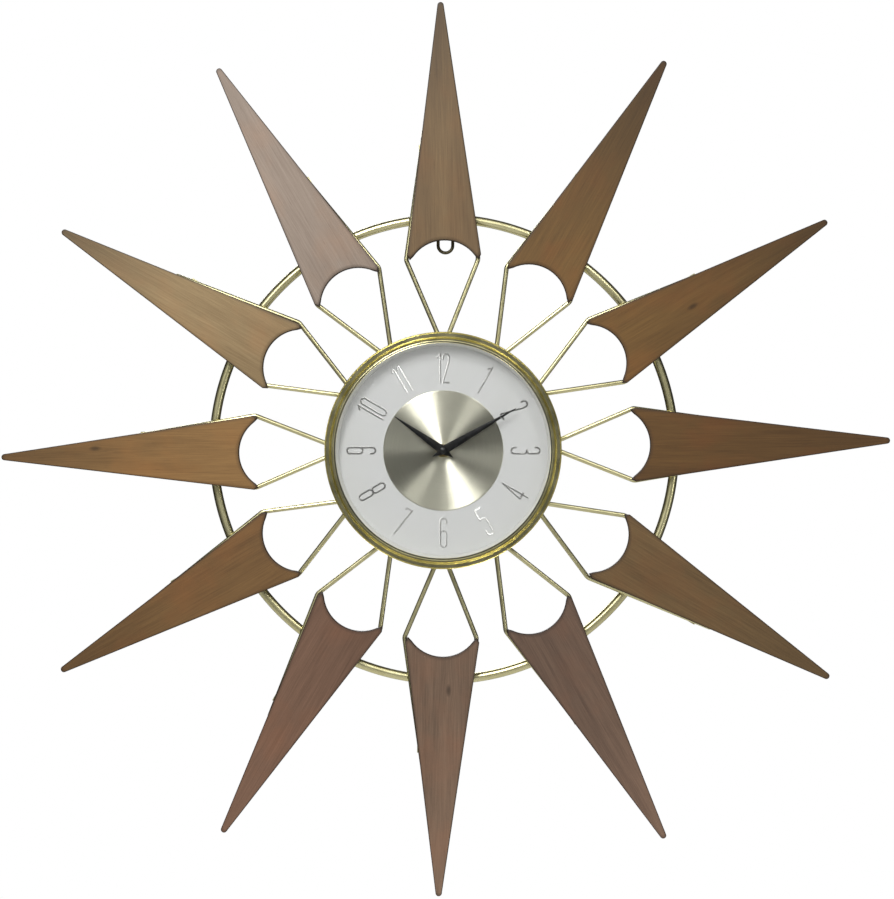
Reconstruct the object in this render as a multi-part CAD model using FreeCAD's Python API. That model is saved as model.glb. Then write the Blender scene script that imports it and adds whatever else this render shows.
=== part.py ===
"""Sunburst wall clock: twelve wooden rays on a brass-coloured wire frame around a
round quartz clock with hour and minute hands.

Millimetres.  +Z is up and the dial faces -Y.  The origin is the point where the nail
bears: under the top of the outer ring, on the wall plane.  Shapes are worked out about
the hands' axis and moved down to it when they are written.  "Rise" is the distance out
from the wall, so a point with rise h has y = -h.
"""
import FreeCAD, Part
import math
import os

from FreeCAD import Vector

# ---------------------------------------------------------------- driving dimensions
TIP_RADIUS = 381.0            # from the frame's centre to a ray's tip
RAYS = 12
RAY_STEP = 360.0 / RAYS
FRAME_X = 0.7                 # the welded frame sits a little off the hands' axis
FRAME_Z = 1.8
# The frame is welded by hand.  How far each ray leans from its hour (degrees, clockwise)
# and how far its wire and blade sit to the clockwise side, from twelve o'clock on.
RAY_LEAN = [-0.8, -0.5, -0.65, -0.9, 1.0, 0.6, 0.8, 0.2, 0.1, -1.0, -0.25, -0.7]
RAY_SLIDE = [0.4, 0.7, -1.3, -1.0, 0.4, 0.0, 1.0, 0.4, -0.1, 0.3, 1.15, 0.0]
# How far each blade is screwed on off its wire's middle (clockwise) and outwards.
BLADE_SLIDE = [1.8, 0.7, 1.1, 0.2, -2.0, -0.7, -1.6, -1.5, -1.3, -1.1, -1.8, -0.8]
BLADE_REACH = [2.4, 1.1, -0.1, 0.0, 1.5, 1.6, 2.2, -1.0, -0.6, 0.0, -2.5, -0.7]

RING_X = 0.0
RING_Z = 1.5
RING_RADIUS = 198.9
RING_TUBE = 4.0               # radius of the ring's tube
RING_RISE = RING_TUBE         # the ring's back touches the wall

LOOP_WIRE = 1.4               # radius of the hanging loop's wire
LOOP_X = 1.5
LOOP_HALF = 6.3
LOOP_BOTTOM = 169.5           # lowest edge of the loop above the hands' axis

WIRE = 2.0                    # radius of a ray's wire
WIRE_RISE = 10.05
WIRE_END = 274.0
WIRE_BEND = 162.7
WIRE_APEX = 87.2
WIRE_BEND_ROUND = 7.0
WIRE_APEX_ROUND = 5.0
WIRE_INSET = 1.2              # wire centre inside the blade's edge, near the bend
WIRE_END_INSET = 3.0          # and at the wire's end

BLADE_APEX = 399.0            # where a blade's straight sides would meet
BLADE_SLOPE = 0.1352          # half width gained for each millimetre from there
BLADE_BACK = 12.15
BLADE_THICK = 6.5
BLADE_TIP_ROUND = 2.7
BLADE_SHOULDER = 164.0
BLADE_CORNER = 159.5
BLADE_CORNER_HALF = 28.7
BLADE_HOLLOW = 176.5
BLADE_EASE = 0.6              # eased front edge

STRAP_PLACES = (215.0, 258.0)
STRAP_HALF = 4.0
STRAP_THICK = 1.2
STRAP_FRONT = 8.0
SCREW = 1.5                   # radius of a wood screw's shank
SCREW_HEAD = 3.1
SCREW_HEAD_HIGH = 1.9
SCREW_BITE = 4.5

PAN_RADIUS = 93.3
PAN_OPENING = 41.0
PAN_BACK = 12.1
PAN_SHEET = 1.0
FLANGE_RADIUS = 99.5
FLANGE_FRONT = 19.5

BEZEL_RADIUS = 100.9
BEZEL_GROOVE = 96.4
BEZEL_LIP = 91.6
BEZEL_BACK = 17.3
BEZEL_SHOULDER = 35.2
BEZEL_SHEET = 1.0
BEAD_HIGH = 2.4
BEZEL_TABS = 6
TAB_WIDE = 9.0
TAB_LONG = 5.0

PLATE_RADIUS = 99.1
PLATE_FRONT = 20.5
DIAL_RADIUS = 92.5
DIAL_FRONT = 20.8
DISC_RADIUS = 51.4
DISC_FRONT = 21.4
LENS_RADIUS = 93.0
LENS_BACK = 32.95
LENS_FRONT = 34.7
LENS_SEAT = 35.0
SURROUND_INNER = 89.4
SURROUND_MOUTH = 91.2

NUMERAL_RADIUS = 70.3
NUMERAL_HIGH = 25.8
NUMERAL_STROKE = 1.5
NUMERAL_FOIL = 0.15
DIGIT_HALF = 2.6              # half width of a digit, and radius of its round ends

MINUTE_REACH = 71.6
HOUR_REACH = 50.2
HAND_TAIL = 10.5
HAND_HALF = 3.4
HAND_HUB = 3.7
HAND_SHEET = 0.6
NUT_RADIUS = 3.3              # cap nut on the minute hand
NUT_SKIRT = 1.2
NUT_CROWN = 1.7
DIAL_NUT_CORNER = 6.4         # from the axis to a corner of the nut that clamps the dial
DIAL_NUT_HIGH = 2.2
HOUR_HAND_BACK = 26.0
MINUTE_HAND_BACK = 28.3
MINUTE_ANGLE = 60.0           # ten past ten, clockwise from twelve
HOUR_ANGLE = 305.0

CASE_HALF = 28.0
CASE_WALL = 1.2
CASE_BACK = 4.2
CASE_FRONT = 18.5
CASE_CORNER = 3.0
COVER_BACK = 3.0
PARTITION_THICK = 0.8
BATTERY_RADIUS = 7.1
BATTERY_LONG = 49.0
BATTERY_Z = -19.3
BATTERY_RISE = 10.1
PARTITION_Z = -11.9

BUSHING = 4.0
BUSHING_BORE = 2.58
BUSHING_TIP = 25.2
HOUR_PIPE = 2.5
HOUR_PIPE_BORE = 1.68
ARBOR = 1.6
PIVOT = 0.5
RUNNING = 0.05                # radial play of a pivot in its hole
SEAT_PLAY = 0.02              # radial play of a piece pressed on another

# Gears: tooth counts and modules.  The two pairs on one axis share a centre distance.
CANNON_TEETH, MOTION_TEETH, CANNON_MODULE = 16, 48, 0.30
MOTION_PINION_TEETH, HOUR_TEETH, HOUR_MODULE = 12, 48, 0.32
KNOB_TEETH = 16
ROTOR_TEETH, INTERMEDIATE_TEETH, ROTOR_MODULE = 10, 60, 0.20
INTERMEDIATE_PINION_TEETH, SECONDS_TEETH, SECONDS_MODULE = 10, 50, 0.30
SECONDS_PINION_TEETH, THIRD_TEETH, THIRD_MODULE = 8, 60, 0.27
THIRD_PINION_TEETH, CENTRE_TEETH, CENTRE_MODULE = 8, 64, 0.255
WHEEL_THICK = 0.6
MOTION_THICK = 0.8
ROTOR_PINION_HIGH = 1.8
INTERMEDIATE_PINION_HIGH = 1.2
SECONDS_PINION_HIGH = 1.9
THIRD_PINION_HIGH = 2.6
MOTION_PINION_HIGH = 2.8
CANNON_HIGH = 1.5
KNOB_PINION_HIGH = 1.2
MAGNET = 3.0
MAGNET_HIGH = 1.8
# Arbors of the going train: radius, rear shoulder, front shoulder.
ROTOR_ARBOR = (0.6, 4.4, 9.4)
INTERMEDIATE_ARBOR = (0.9, 4.5, 8.4)
SECONDS_ARBOR = (0.7, 4.5, 8.0)
THIRD_ARBOR = (0.7, 4.5, 9.7)
NECK = 1.25                   # rear part of the minute arbor, and the knob's shaft
NECK_END = 9.8
MOTION_POST = 0.8
MOTION_POST_TIP = 16.4
# Rise of each wheel's back face, from the cover forwards.
SECONDS_LEVEL = 4.9
THIRD_LEVEL = 6.3
INTERMEDIATE_LEVEL = 7.4
CENTRE_LEVEL = 8.6
MID_PLATE_BACK = 10.0
MID_PLATE_FRONT = 10.8
MOTION_LEVEL = 11.6
HOUR_LEVEL = 13.8
# Directions of the wheels' arbors, counter-clockwise from three o'clock.
THIRD_DIRECTION = 150.0
INTERMEDIATE_DIRECTION = 30.0
ROTOR_DIRECTION = 60.0
MOTION_DIRECTION = 60.0
KNOB_DIRECTION = 140.0

KNOB_GRIP = 6.0
KNOB_BACK = 0.7
KNOB_FRONT = 2.6
KNOB_RIBS = 24
KNOB_RIB = 0.45
KNOB_SHAFT_TIP = 13.2
SHAFT_PLAY = 0.08             # radial play of a shaft that only passes through a plate

PILLAR = 1.5
PILLARS = ((-22, 22), (23, 22), (-22, -8), (23, -8))

STATOR_BACK = 5.2
STATOR_FRONT = 6.4
STATOR_LEFT = 1.0
STATOR_INNER = 6.5            # where the block round the rotor begins
STATOR_RIGHT = 17.5
STATOR_FOOT = 6.9
STATOR_SHOULDER = 15.5
STATOR_TOP = 25.0
STATOR_LIMB = 3.0
STATOR_BORE = 3.4
CORE_LOW = 20.8
CORE_HIGH = 23.2
CORE_FRONT = 7.6
COIL_Z = 22.0
COIL_RISE = 7.2
COIL_RADIUS = 2.1
COIL_START = 5.0
COIL_LONG = 8.0
BOBBIN_RADIUS = 2.5
BOBBIN_SHEET = 0.8
JOIN = 0.1                    # how far blocks reach into each other where they are fused

BOARD_LEFT = -26.2
BOARD_RIGHT = -17.2
BOARD_LOW = -5.5
BOARD_HIGH = 18.0
BOARD_BACK = 8.6
BOARD_FRONT = 9.4
CHIP_SIDE = 4.5
CHIP_HIGH = 1.18
CHIP_AT = (-24.0, 8.0)        # its lower left corner
CRYSTAL_RADIUS = 1.0
CRYSTAL_LONG = 6.0
CRYSTAL_AT = (-22.0, -3.0)

BUTTON_RADIUS = 2.7           # positive end of the dry cell
BUTTON_HIGH = 1.2
BATTERY_OFFSET = -0.4         # the cell sits a little towards its flat end
CONTACT_SHEET = 0.4
CONTACT_HALF = 4.0
CONTACT_BACK = 5.0
CONTACT_FRONT = 16.0
CONTACT_NOSE = (2.6, 1.2)     # base and tip radius of the spring
CONTACT_REACH = (24.95, 25.35)

OUT = Vector(0, -1, 0)        # away from the wall
HANGING_HEIGHT = RING_Z + RING_RADIUS - RING_TUBE

os.makedirs("parts", exist_ok=True)


# ------------------------------------------------------------------- shared helpers
def save(name, shape):
    """Write one node, moved so that the nail's bearing point is the origin."""
    placed = shape.copy()
    placed.translate(Vector(0, 0, -HANGING_HEIGHT))
    placed.exportStep("parts/%s.step" % name)


def compound(solids):
    """Several separate solids that share a node."""
    return Part.makeCompound(solids)


def fuse(solids):
    """One solid from overlapping or touching solids."""
    joined = solids[0].multiFuse(solids[1:])
    return joined.removeSplitter()


def rod(radius, back, front, x=0.0, z=0.0):
    """Round rod along the axis, from one rise to another."""
    return Part.makeCylinder(radius, front - back, Vector(x, -back, z), OUT)


def tube(outer, inner, back, front, x=0.0, z=0.0):
    """Round tube along the axis."""
    return rod(outer, back, front, x, z).cut(rod(inner, back - 1.0, front + 1.0, x, z))


def slab(x0, x1, z0, z1, back, front):
    """Rectangular block between two rises."""
    return Part.makeBox(x1 - x0, front - back, z1 - z0, Vector(x0, -front, z0))


def flat(edges, back, front):
    """Plate whose outline lies in the wall plane, between two rises."""
    face = Part.Face(Part.Wire(edges))
    face.translate(Vector(0, -back, 0))
    return face.extrude(OUT * (front - back))


def line(a, b):
    return Part.makeLine(Vector(a[0], 0, a[1]), Vector(b[0], 0, b[1]))


def arc(a, b, c):
    return Part.Arc(Vector(a[0], 0, a[1]), Vector(b[0], 0, b[1]), Vector(c[0], 0, c[1])).toShape()


def outline(points):
    """Closed straight-sided outline."""
    return [line(a, b) for a, b in zip(points, points[1:] + points[:1])]


def turned(points):
    """Solid of revolution about the hands' axis from (radius, rise) points.

    Three numbers in a row (radius, rise, "bow") mark the top of an arc between the
    points either side of it.
    """
    edges = []
    count = len(points)
    place = 0
    while place < count:
        start = points[place]
        middle = points[(place + 1) % count]
        if len(middle) == 3:
            end = points[(place + 2) % count]
            curve = Part.Arc(*(Vector(p[0], -p[1], 0) for p in (start, middle, end)))
            edges.append(curve.toShape())
            place += 2
        else:
            edges.append(Part.makeLine(Vector(start[0], -start[1], 0),
                                       Vector(middle[0], -middle[1], 0)))
            place += 1
    face = Part.Face(Part.Wire(edges))
    return face.revolve(Vector(0, 0, 0), Vector(0, 1, 0), 360)


def clockwise(shape, degrees, x=0.0, z=0.0):
    """The shape turned clockwise, as seen from the front, about an axis out of the wall."""
    shape.rotate(Vector(x, 0, z), Vector(0, 1, 0), degrees)
    return shape


def polar(radius, degrees):
    """Point at a radius, counter-clockwise from three o'clock."""
    turn = math.radians(degrees)
    return radius * math.cos(turn), radius * math.sin(turn)


# --------------------------------------------------------------- frame and wood rays
def ray_angle(hour):
    return hour * RAY_STEP + RAY_LEAN[hour]


def as_ray(shape, hour):
    """A shape drawn about the frame's centre at twelve o'clock, moved to its ray's place."""
    shape.translate(Vector(FRAME_X + RAY_SLIDE[hour], 0, FRAME_Z))
    return clockwise(shape, ray_angle(hour), FRAME_X, FRAME_Z)


def blade_half(radius):
    """Half width of a blade at a radius."""
    return BLADE_SLOPE * (BLADE_APEX - radius)


def bent_rod(points, rounds, radius):
    """Round rod along straight runs joined by tangent bends.

    Each bend touches both runs at round * tan(half the turn) from its corner.
    """
    edges = []
    start = points[0]
    for corner, after, bend in zip(points[1:-1], points[2:], rounds):
        way_in = (corner - start).normalize()
        way_out = (after - corner).normalize()
        turn = way_in.getAngle(way_out)
        reach = bend * math.tan(turn / 2)
        first = corner - way_in * reach
        last = corner + way_out * reach
        inward = (way_out - way_in).normalize()
        middle = corner + inward * (bend / math.cos(turn / 2) - bend)
        edges.append(Part.makeLine(start, first))
        edges.append(Part.Arc(first, middle, last).toShape())
        start = last
    edges.append(Part.makeLine(start, points[-1]))
    path = Part.Wire(edges)
    heading = points[1] - points[0]
    section = Part.Wire(Part.makeCircle(radius, points[0], heading))
    return path.makePipeShell([section], True, False)


def make_ray_wire(hour):
    """One wire bent to a V: its apex is welded to the pan, its ends lie under the blade."""
    end_half = blade_half(WIRE_END) - WIRE_END_INSET
    bend_half = blade_half(WIRE_BEND) - WIRE_INSET + 0.3
    half_route = [(end_half, WIRE_END), (bend_half, WIRE_BEND)]
    route = [(-x, z) for x, z in half_route] + [(0.0, WIRE_APEX)] + half_route[::-1]
    points = [Vector(x, -WIRE_RISE, z) for x, z in route]
    rounds = [WIRE_BEND_ROUND, WIRE_APEX_ROUND, WIRE_BEND_ROUND]
    return as_ray(bent_rod(points, rounds, WIRE), hour)


def make_blade(hour):
    """Tapered wooden ray: round tip, straight sides, hollow base, two pilot holes."""
    shoulder = blade_half(BLADE_SHOULDER)
    lean = math.atan(BLADE_SLOPE)
    tip_x = BLADE_TIP_ROUND * math.cos(lean)
    tip_z = TIP_RADIUS - BLADE_TIP_ROUND * (1 - math.sin(lean))
    corner_x = (shoulder + BLADE_CORNER_HALF) / 2 + 1.1
    corner_z = (BLADE_SHOULDER + BLADE_CORNER) / 2 - 0.9
    edges = [
        arc((-BLADE_CORNER_HALF, BLADE_CORNER), (-corner_x, corner_z), (-shoulder, BLADE_SHOULDER)),
        line((-shoulder, BLADE_SHOULDER), (-tip_x, tip_z)),
        arc((-tip_x, tip_z), (0, TIP_RADIUS), (tip_x, tip_z)),
        line((tip_x, tip_z), (shoulder, BLADE_SHOULDER)),
        arc((shoulder, BLADE_SHOULDER), (corner_x, corner_z), (BLADE_CORNER_HALF, BLADE_CORNER)),
        arc((BLADE_CORNER_HALF, BLADE_CORNER), (0, BLADE_HOLLOW), (-BLADE_CORNER_HALF, BLADE_CORNER)),
    ]
    front = BLADE_BACK + BLADE_THICK
    wood = flat(edges, BLADE_BACK, front)
    rim = [edge for edge in wood.Edges
           if abs(edge.BoundBox.YMin + front) < 0.01 and abs(edge.BoundBox.YMax + front) < 0.01]
    wood = wood.makeChamfer(BLADE_EASE, rim)
    wood.translate(Vector(BLADE_SLIDE[hour], 0, BLADE_REACH[hour]))
    for place in STRAP_PLACES:
        wood = wood.cut(rod(SCREW + RUNNING, BLADE_BACK - 1, BLADE_BACK + SCREW_BITE + 0.3, 0, place))
    return as_ray(wood, hour)


def make_straps():
    """Flat straps across the two legs of each wire, with a screw hole each."""
    straps = []
    for hour in range(RAYS):
        for place in STRAP_PLACES:
            half = blade_half(place) - WIRE_INSET + 1.0
            strap = slab(-half, half, place - STRAP_HALF, place + STRAP_HALF,
                         STRAP_FRONT - STRAP_THICK, STRAP_FRONT)
            strap = strap.cut(rod(SCREW + 0.3, 0, STRAP_FRONT + 1, 0, place))
            straps.append(as_ray(strap, hour))
    return compound(straps)


def make_blade_screws():
    """Round-headed wood screws from behind, two to a blade."""
    screws = []
    head_back = STRAP_FRONT - STRAP_THICK - SCREW_HEAD_HIGH
    for hour in range(RAYS):
        for place in STRAP_PLACES:
            head = rod(SCREW_HEAD, head_back, head_back + SCREW_HEAD_HIGH, 0, place)
            slot = slab(-SCREW_HEAD, SCREW_HEAD, place - 0.4, place + 0.4, head_back - 1, head_back + 0.8)
            shank = rod(SCREW, head_back + 1, BLADE_BACK + SCREW_BITE, 0, place)
            screws.append(as_ray(fuse([head.cut(slot), shank]), hour))
    return compound(screws)


def make_outer_ring():
    return Part.makeTorus(RING_RADIUS, RING_TUBE, Vector(RING_X, -RING_RISE, RING_Z), OUT)


def make_hanging_loop(ring):
    """U of wire whose two ends are welded under the top of the ring."""
    turn_z = LOOP_BOTTOM + LOOP_WIRE + LOOP_HALF
    top_z = HANGING_HEIGHT + 2.0
    left_top = Vector(LOOP_X - LOOP_HALF, -RING_RISE, top_z)
    left = Vector(LOOP_X - LOOP_HALF, -RING_RISE, turn_z)
    bottom = Vector(LOOP_X, -RING_RISE, turn_z - LOOP_HALF)
    right = Vector(LOOP_X + LOOP_HALF, -RING_RISE, turn_z)
    right_top = Vector(LOOP_X + LOOP_HALF, -RING_RISE, top_z)
    path = Part.Wire([Part.makeLine(left_top, left), Part.Arc(left, bottom, right).toShape(),
                      Part.makeLine(right, right_top)])
    section = Part.Wire(Part.makeCircle(LOOP_WIRE, left_top, Vector(0, 0, -1)))
    return path.makePipeShell([section], True, False).cut(ring)


# ------------------------------------------------------------------------ clock head
def make_case_pan():
    """Stamped dish: floor welded to the wires, wall, and flange that carries the dial."""
    return turned([
        (PAN_OPENING, PAN_BACK), (PAN_RADIUS, PAN_BACK),
        (PAN_RADIUS, FLANGE_FRONT - PAN_SHEET), (FLANGE_RADIUS, FLANGE_FRONT - PAN_SHEET),
        (FLANGE_RADIUS, FLANGE_FRONT), (PAN_RADIUS - PAN_SHEET, FLANGE_FRONT),
        (PAN_RADIUS - PAN_SHEET, PAN_BACK + PAN_SHEET), (PAN_OPENING, PAN_BACK + PAN_SHEET),
    ])


def make_bezel():
    """Spun rim of two beads, with tabs folded in behind the pan's flange."""
    skirt = BEZEL_RADIUS - BEZEL_SHEET
    seat = LENS_RADIUS + 0.2
    ring = turned([
        (skirt, BEZEL_BACK), (BEZEL_RADIUS, BEZEL_BACK), (BEZEL_RADIUS, BEZEL_SHOULDER),
        ((BEZEL_RADIUS + BEZEL_GROOVE) / 2, BEZEL_SHOULDER + BEAD_HIGH, "bow"),
        (BEZEL_GROOVE, BEZEL_SHOULDER),
        ((BEZEL_GROOVE + BEZEL_LIP) / 2, BEZEL_SHOULDER + BEAD_HIGH, "bow"),
        (BEZEL_LIP, BEZEL_SHOULDER), (BEZEL_LIP, LENS_SEAT), (seat, LENS_SEAT),
        (seat, DIAL_FRONT + 0.1), (seat + BEZEL_SHEET, DIAL_FRONT + 0.1),
        (seat + BEZEL_SHEET, BEZEL_SHOULDER - 2.2), (skirt, BEZEL_SHOULDER - 2.2),
    ])
    tabs = []
    for number in range(BEZEL_TABS):
        tab = slab(-TAB_WIDE / 2, TAB_WIDE / 2, skirt - TAB_LONG, skirt + 0.5,
                   BEZEL_BACK, BEZEL_BACK + BEZEL_SHEET)
        tabs.append(clockwise(tab, (number + 0.5) * 360.0 / BEZEL_TABS))
    return fuse([ring] + tabs)


def make_dial_surround():
    """Cone-sided ring that holds the lens off the dial."""
    return turned([(SURROUND_INNER, DIAL_FRONT + 0.05), (LENS_RADIUS, DIAL_FRONT + 0.05),
                   (LENS_RADIUS, LENS_BACK - 0.05), (SURROUND_MOUTH, LENS_BACK - 0.05)])


def digit_strokes(digit):
    """Centre lines of one condensed digit, drawn about its middle.

    Each stroke is ("run", point, point) or ("bow", centre, first degree, last degree),
    a bow being part of the circle that rounds the digit's ends.
    """
    half = (NUMERAL_HIGH - NUMERAL_STROKE) / 2
    side = DIGIT_HALF
    crown = half - side
    hook = crown - 1.3
    waist = 1.3
    top_bow = ("bow", (0, crown), 0, 180)
    foot_bow = ("bow", (0, -crown), 180, 360)
    left_hook = ("run", (-side, crown), (-side, hook))
    foot_hook = ("run", (-side, -crown), (-side, -hook))
    if digit == 0:
        return [top_bow, foot_bow, ("run", (-side, crown), (-side, -crown)),
                ("run", (side, crown), (side, -crown))]
    if digit == 1:
        return [("run", (1.0, half), (1.0, -half)), ("run", (1.0, half), (-1.6, half - 2.6))]
    if digit == 2:
        return [top_bow, left_hook, ("run", (side, crown), (side, crown - 2.6)),
                ("run", (side, crown - 2.6), (-side, -half)), ("run", (-side, -half), (side, -half))]
    if digit == 3:
        return [top_bow, left_hook, ("run", (side, crown), (side, waist + side)),
                ("bow", (0, waist + side), 270, 360), ("run", (0, waist), (-0.8, waist)),
                ("bow", (0, waist - side), 0, 90), ("run", (side, waist - side), (side, -crown)),
                foot_bow, foot_hook]
    if digit == 4:
        return [("run", (1.3, half), (1.3, -half)), ("run", (1.3, half), (-2.9, -7.2)),
                ("run", (-2.9, -7.2), (3.1, -7.2))]
    if digit == 5:
        return [("run", (-side, half), (side, half)), ("run", (-side, half), (-side, 0.5)),
                ("bow", (0, 0.5), 0, 180), ("run", (side, 0.5), (side, -crown)), foot_bow, foot_hook]
    if digit == 6:
        return [top_bow, ("run", (side, crown), (side, hook)), ("run", (-side, crown), (-side, -crown)),
                foot_bow, ("run", (side, -crown), (side, waist - side)),
                ("bow", (0, waist - side), 0, 180)]
    if digit == 7:
        return [("run", (-side, half), (side, half)), ("run", (-side, half), (-side, half - 1.2)),
                ("run", (side, half), (-0.9, -half))]
    if digit == 8:
        return [top_bow, foot_bow, ("bow", (0, 0.5 + side), 180, 360), ("bow", (0, 0.5 - side), 0, 180),
                ("run", (-side, crown), (-side, 0.5 + side)), ("run", (side, crown), (side, 0.5 + side)),
                ("run", (-side, 0.5 - side), (-side, -crown)), ("run", (side, 0.5 - side), (side, -crown))]
    turned_six = []
    for stroke in digit_strokes(6):
        if stroke[0] == "run":
            turned_six.append(("run", (-stroke[1][0], -stroke[1][1]), (-stroke[2][0], -stroke[2][1])))
        else:
            turned_six.append(("bow", (-stroke[1][0], -stroke[1][1]), stroke[2] + 180, stroke[3] + 180))
    return turned_six


def stroke_solid(stroke, shift):
    """One stroke of a digit, widened to the pen's width, as a sliver of foil."""
    pen = NUMERAL_STROKE / 2
    back = DIAL_FRONT
    front = DIAL_FRONT + NUMERAL_FOIL
    if stroke[0] == "run":
        ax, az = stroke[1]
        bx, bz = stroke[2]
        length = math.hypot(bx - ax, bz - az)
        bar = slab(0, length, -pen, pen, back, front)
        bar = clockwise(bar, -math.degrees(math.atan2(bz - az, bx - ax)))
        bar.translate(Vector(ax + shift, 0, az))
        return fuse([bar, rod(pen, back, front, ax + shift, az), rod(pen, back, front, bx + shift, bz)])
    (cx, cz), first, last = stroke[1:]
    middle = (first + last) / 2
    edges = []
    for radius, order in ((DIGIT_HALF + pen, (first, middle, last)),
                          (DIGIT_HALF - pen, (last, middle, first))):
        edges.append([(cx + shift + x, cz + z) for x, z in (polar(radius, turn) for turn in order)])
    outer, inner = edges
    return flat([arc(*outer), line(outer[2], inner[0]), arc(*inner), line(inner[2], outer[0])], back, front)


def make_numeral(hour):
    """The foil digits of one hour, upright on the lower half of the dial."""
    digits = {10: [(1, -3.9), (0, 2.6)], 11: [(1, -2.9), (1, 2.1)], 12: [(1, -3.6), (2, 2.35)]}
    solids = []
    for digit, shift in digits.get(hour, [(hour, 0.0)]):
        solids.append(fuse([stroke_solid(stroke, shift) for stroke in digit_strokes(digit)]))
    numeral = compound(solids)
    if 4 <= hour <= 8:
        clockwise(numeral, 180)
    numeral.translate(Vector(0, 0, NUMERAL_RADIUS))
    return clockwise(numeral, hour * RAY_STEP)


def make_numerals():
    solids = []
    for hour in range(1, RAYS + 1):
        solids.extend(make_numeral(hour).Solids)
    return compound(solids)


def make_hand(reach, back, bore, pipe, angle):
    """Long four-sided hand with a pointed tail, on a round hub with a short collar."""
    shape = [(0, -HAND_TAIL), (HAND_HALF, 0), (0.3, reach), (-0.3, reach), (-HAND_HALF, 0)]
    blade = flat(outline(shape), back, back + HAND_SHEET)
    hub = rod(HAND_HUB, back, back + HAND_SHEET)
    collar = rod(bore + 0.8, back - pipe, back)
    hand = fuse([blade, hub, collar]).cut(rod(bore, back - 5, back + 5))
    return clockwise(hand, angle)


def make_hand_nut():
    """Small domed cap nut that holds the minute hand."""
    back = MINUTE_HAND_BACK + HAND_SHEET
    top = back + NUT_SKIRT + NUT_CROWN
    sphere = (NUT_RADIUS ** 2 + NUT_CROWN ** 2) / (2 * NUT_CROWN)
    half_way = math.asin(NUT_RADIUS / sphere) / 2
    bow_x = sphere * math.sin(half_way)
    bow_rise = top - sphere * (1 - math.cos(half_way))
    cap = turned([(0, back), (NUT_RADIUS, back), (NUT_RADIUS, back + NUT_SKIRT), (bow_x, bow_rise, "bow"),
                  (0, top)])
    return cap.cut(rod(ARBOR + SEAT_PLAY, back - 1, back + 1.8))


def make_bushing():
    """Threaded brass bushing of the movement, with its inner flange."""
    return fuse([tube(5.5, BUSHING_BORE, CASE_FRONT - CASE_WALL - 1.0, CASE_FRONT - CASE_WALL - SEAT_PLAY),
                 tube(BUSHING, BUSHING_BORE, CASE_FRONT - CASE_WALL - 1.0, BUSHING_TIP)])


def make_bushing_nut():
    """Six-sided nut that clamps the dial to the movement."""
    top = DISC_FRONT + DIAL_NUT_HIGH
    wide = DIAL_NUT_CORNER + 0.5
    points = [polar(DIAL_NUT_CORNER, 60 * number) for number in range(6)]
    nut = flat(outline(points), DISC_FRONT, top)
    dome = turned([(0, DISC_FRONT - 1), (wide, DISC_FRONT - 1), (wide, top - 0.8),
                   (DIAL_NUT_CORNER - 0.6, top), (0, top)])
    return nut.common(dome).cut(rod(BUSHING + SEAT_PLAY, 0, top + 1))


# -------------------------------------------------------------------------- movement
def gear(teeth, module, back, thick, x, z, phase):
    """Toothed disc with radial flanks and round tips, one tooth at angle phase.

    Flanks are radial from the root to the pitch circle; an arc over the addendum joins
    the two flanks of a tooth.
    """
    pitch = teeth * module / 2
    root = pitch - 0.95 * module
    tip = pitch + 0.65 * module
    step = 360.0 / teeth
    half = math.degrees(0.6 * module / pitch)
    edges = []
    for number in range(teeth):
        middle = phase + number * step
        corners = [polar(root, middle - half), polar(pitch, middle - half), polar(tip, middle),
                   polar(pitch, middle + half), polar(root, middle + half)]
        corners = [(x + cx, z + cz) for cx, cz in corners]
        after = polar(root, middle + step - half)
        edges.append(line(corners[0], corners[1]))
        edges.append(arc(*corners[1:4]))
        edges.append(line(corners[3], corners[4]))
        edges.append(line(corners[4], (x + after[0], z + after[1])))
    return flat(edges, back, back + thick)


def meshed(teeth_a, phase_a, direction, teeth_b):
    """Phase of gear b so that its gap faces a tooth of gear a across their centres."""
    step_a = 360.0 / teeth_a
    step_b = 360.0 / teeth_b
    share = ((direction - phase_a) % step_a) / step_a
    return direction + 180 + (share + 0.5) * step_b


def distance(teeth_a, teeth_b, module):
    return (teeth_a + teeth_b) * module / 2


THIRD_AT = polar(distance(SECONDS_PINION_TEETH, THIRD_TEETH, THIRD_MODULE), THIRD_DIRECTION)
INTERMEDIATE_AT = polar(distance(INTERMEDIATE_PINION_TEETH, SECONDS_TEETH, SECONDS_MODULE),
                        INTERMEDIATE_DIRECTION)
ROTOR_STEP = polar(distance(ROTOR_TEETH, INTERMEDIATE_TEETH, ROTOR_MODULE), ROTOR_DIRECTION)
ROTOR_AT = (INTERMEDIATE_AT[0] + ROTOR_STEP[0], INTERMEDIATE_AT[1] + ROTOR_STEP[1])
MOTION_AT = polar(distance(CANNON_TEETH, MOTION_TEETH, CANNON_MODULE), MOTION_DIRECTION)
KNOB_STEP = polar(distance(KNOB_TEETH, MOTION_TEETH, CANNON_MODULE), KNOB_DIRECTION)
KNOB_AT = (MOTION_AT[0] + KNOB_STEP[0], MOTION_AT[1] + KNOB_STEP[1])

PIVOT_DEEP = 0.5              # depth of a pivot hole in the cover
PIVOT_REAR = CASE_BACK - 0.4
PIVOT_TIP = MID_PLATE_FRONT - 0.2
ARBOR_BACK = 8.3              # rear end of the minute arbor


def arbor(x, z, sizes, pivot_tip=PIVOT_TIP):
    """Wheel arbor with a thinner pivot at each end; sizes are as listed at the top."""
    radius, back, front = sizes
    return [rod(radius, back, front, x, z), rod(PIVOT, PIVOT_REAR, pivot_tip, x, z)]


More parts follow.
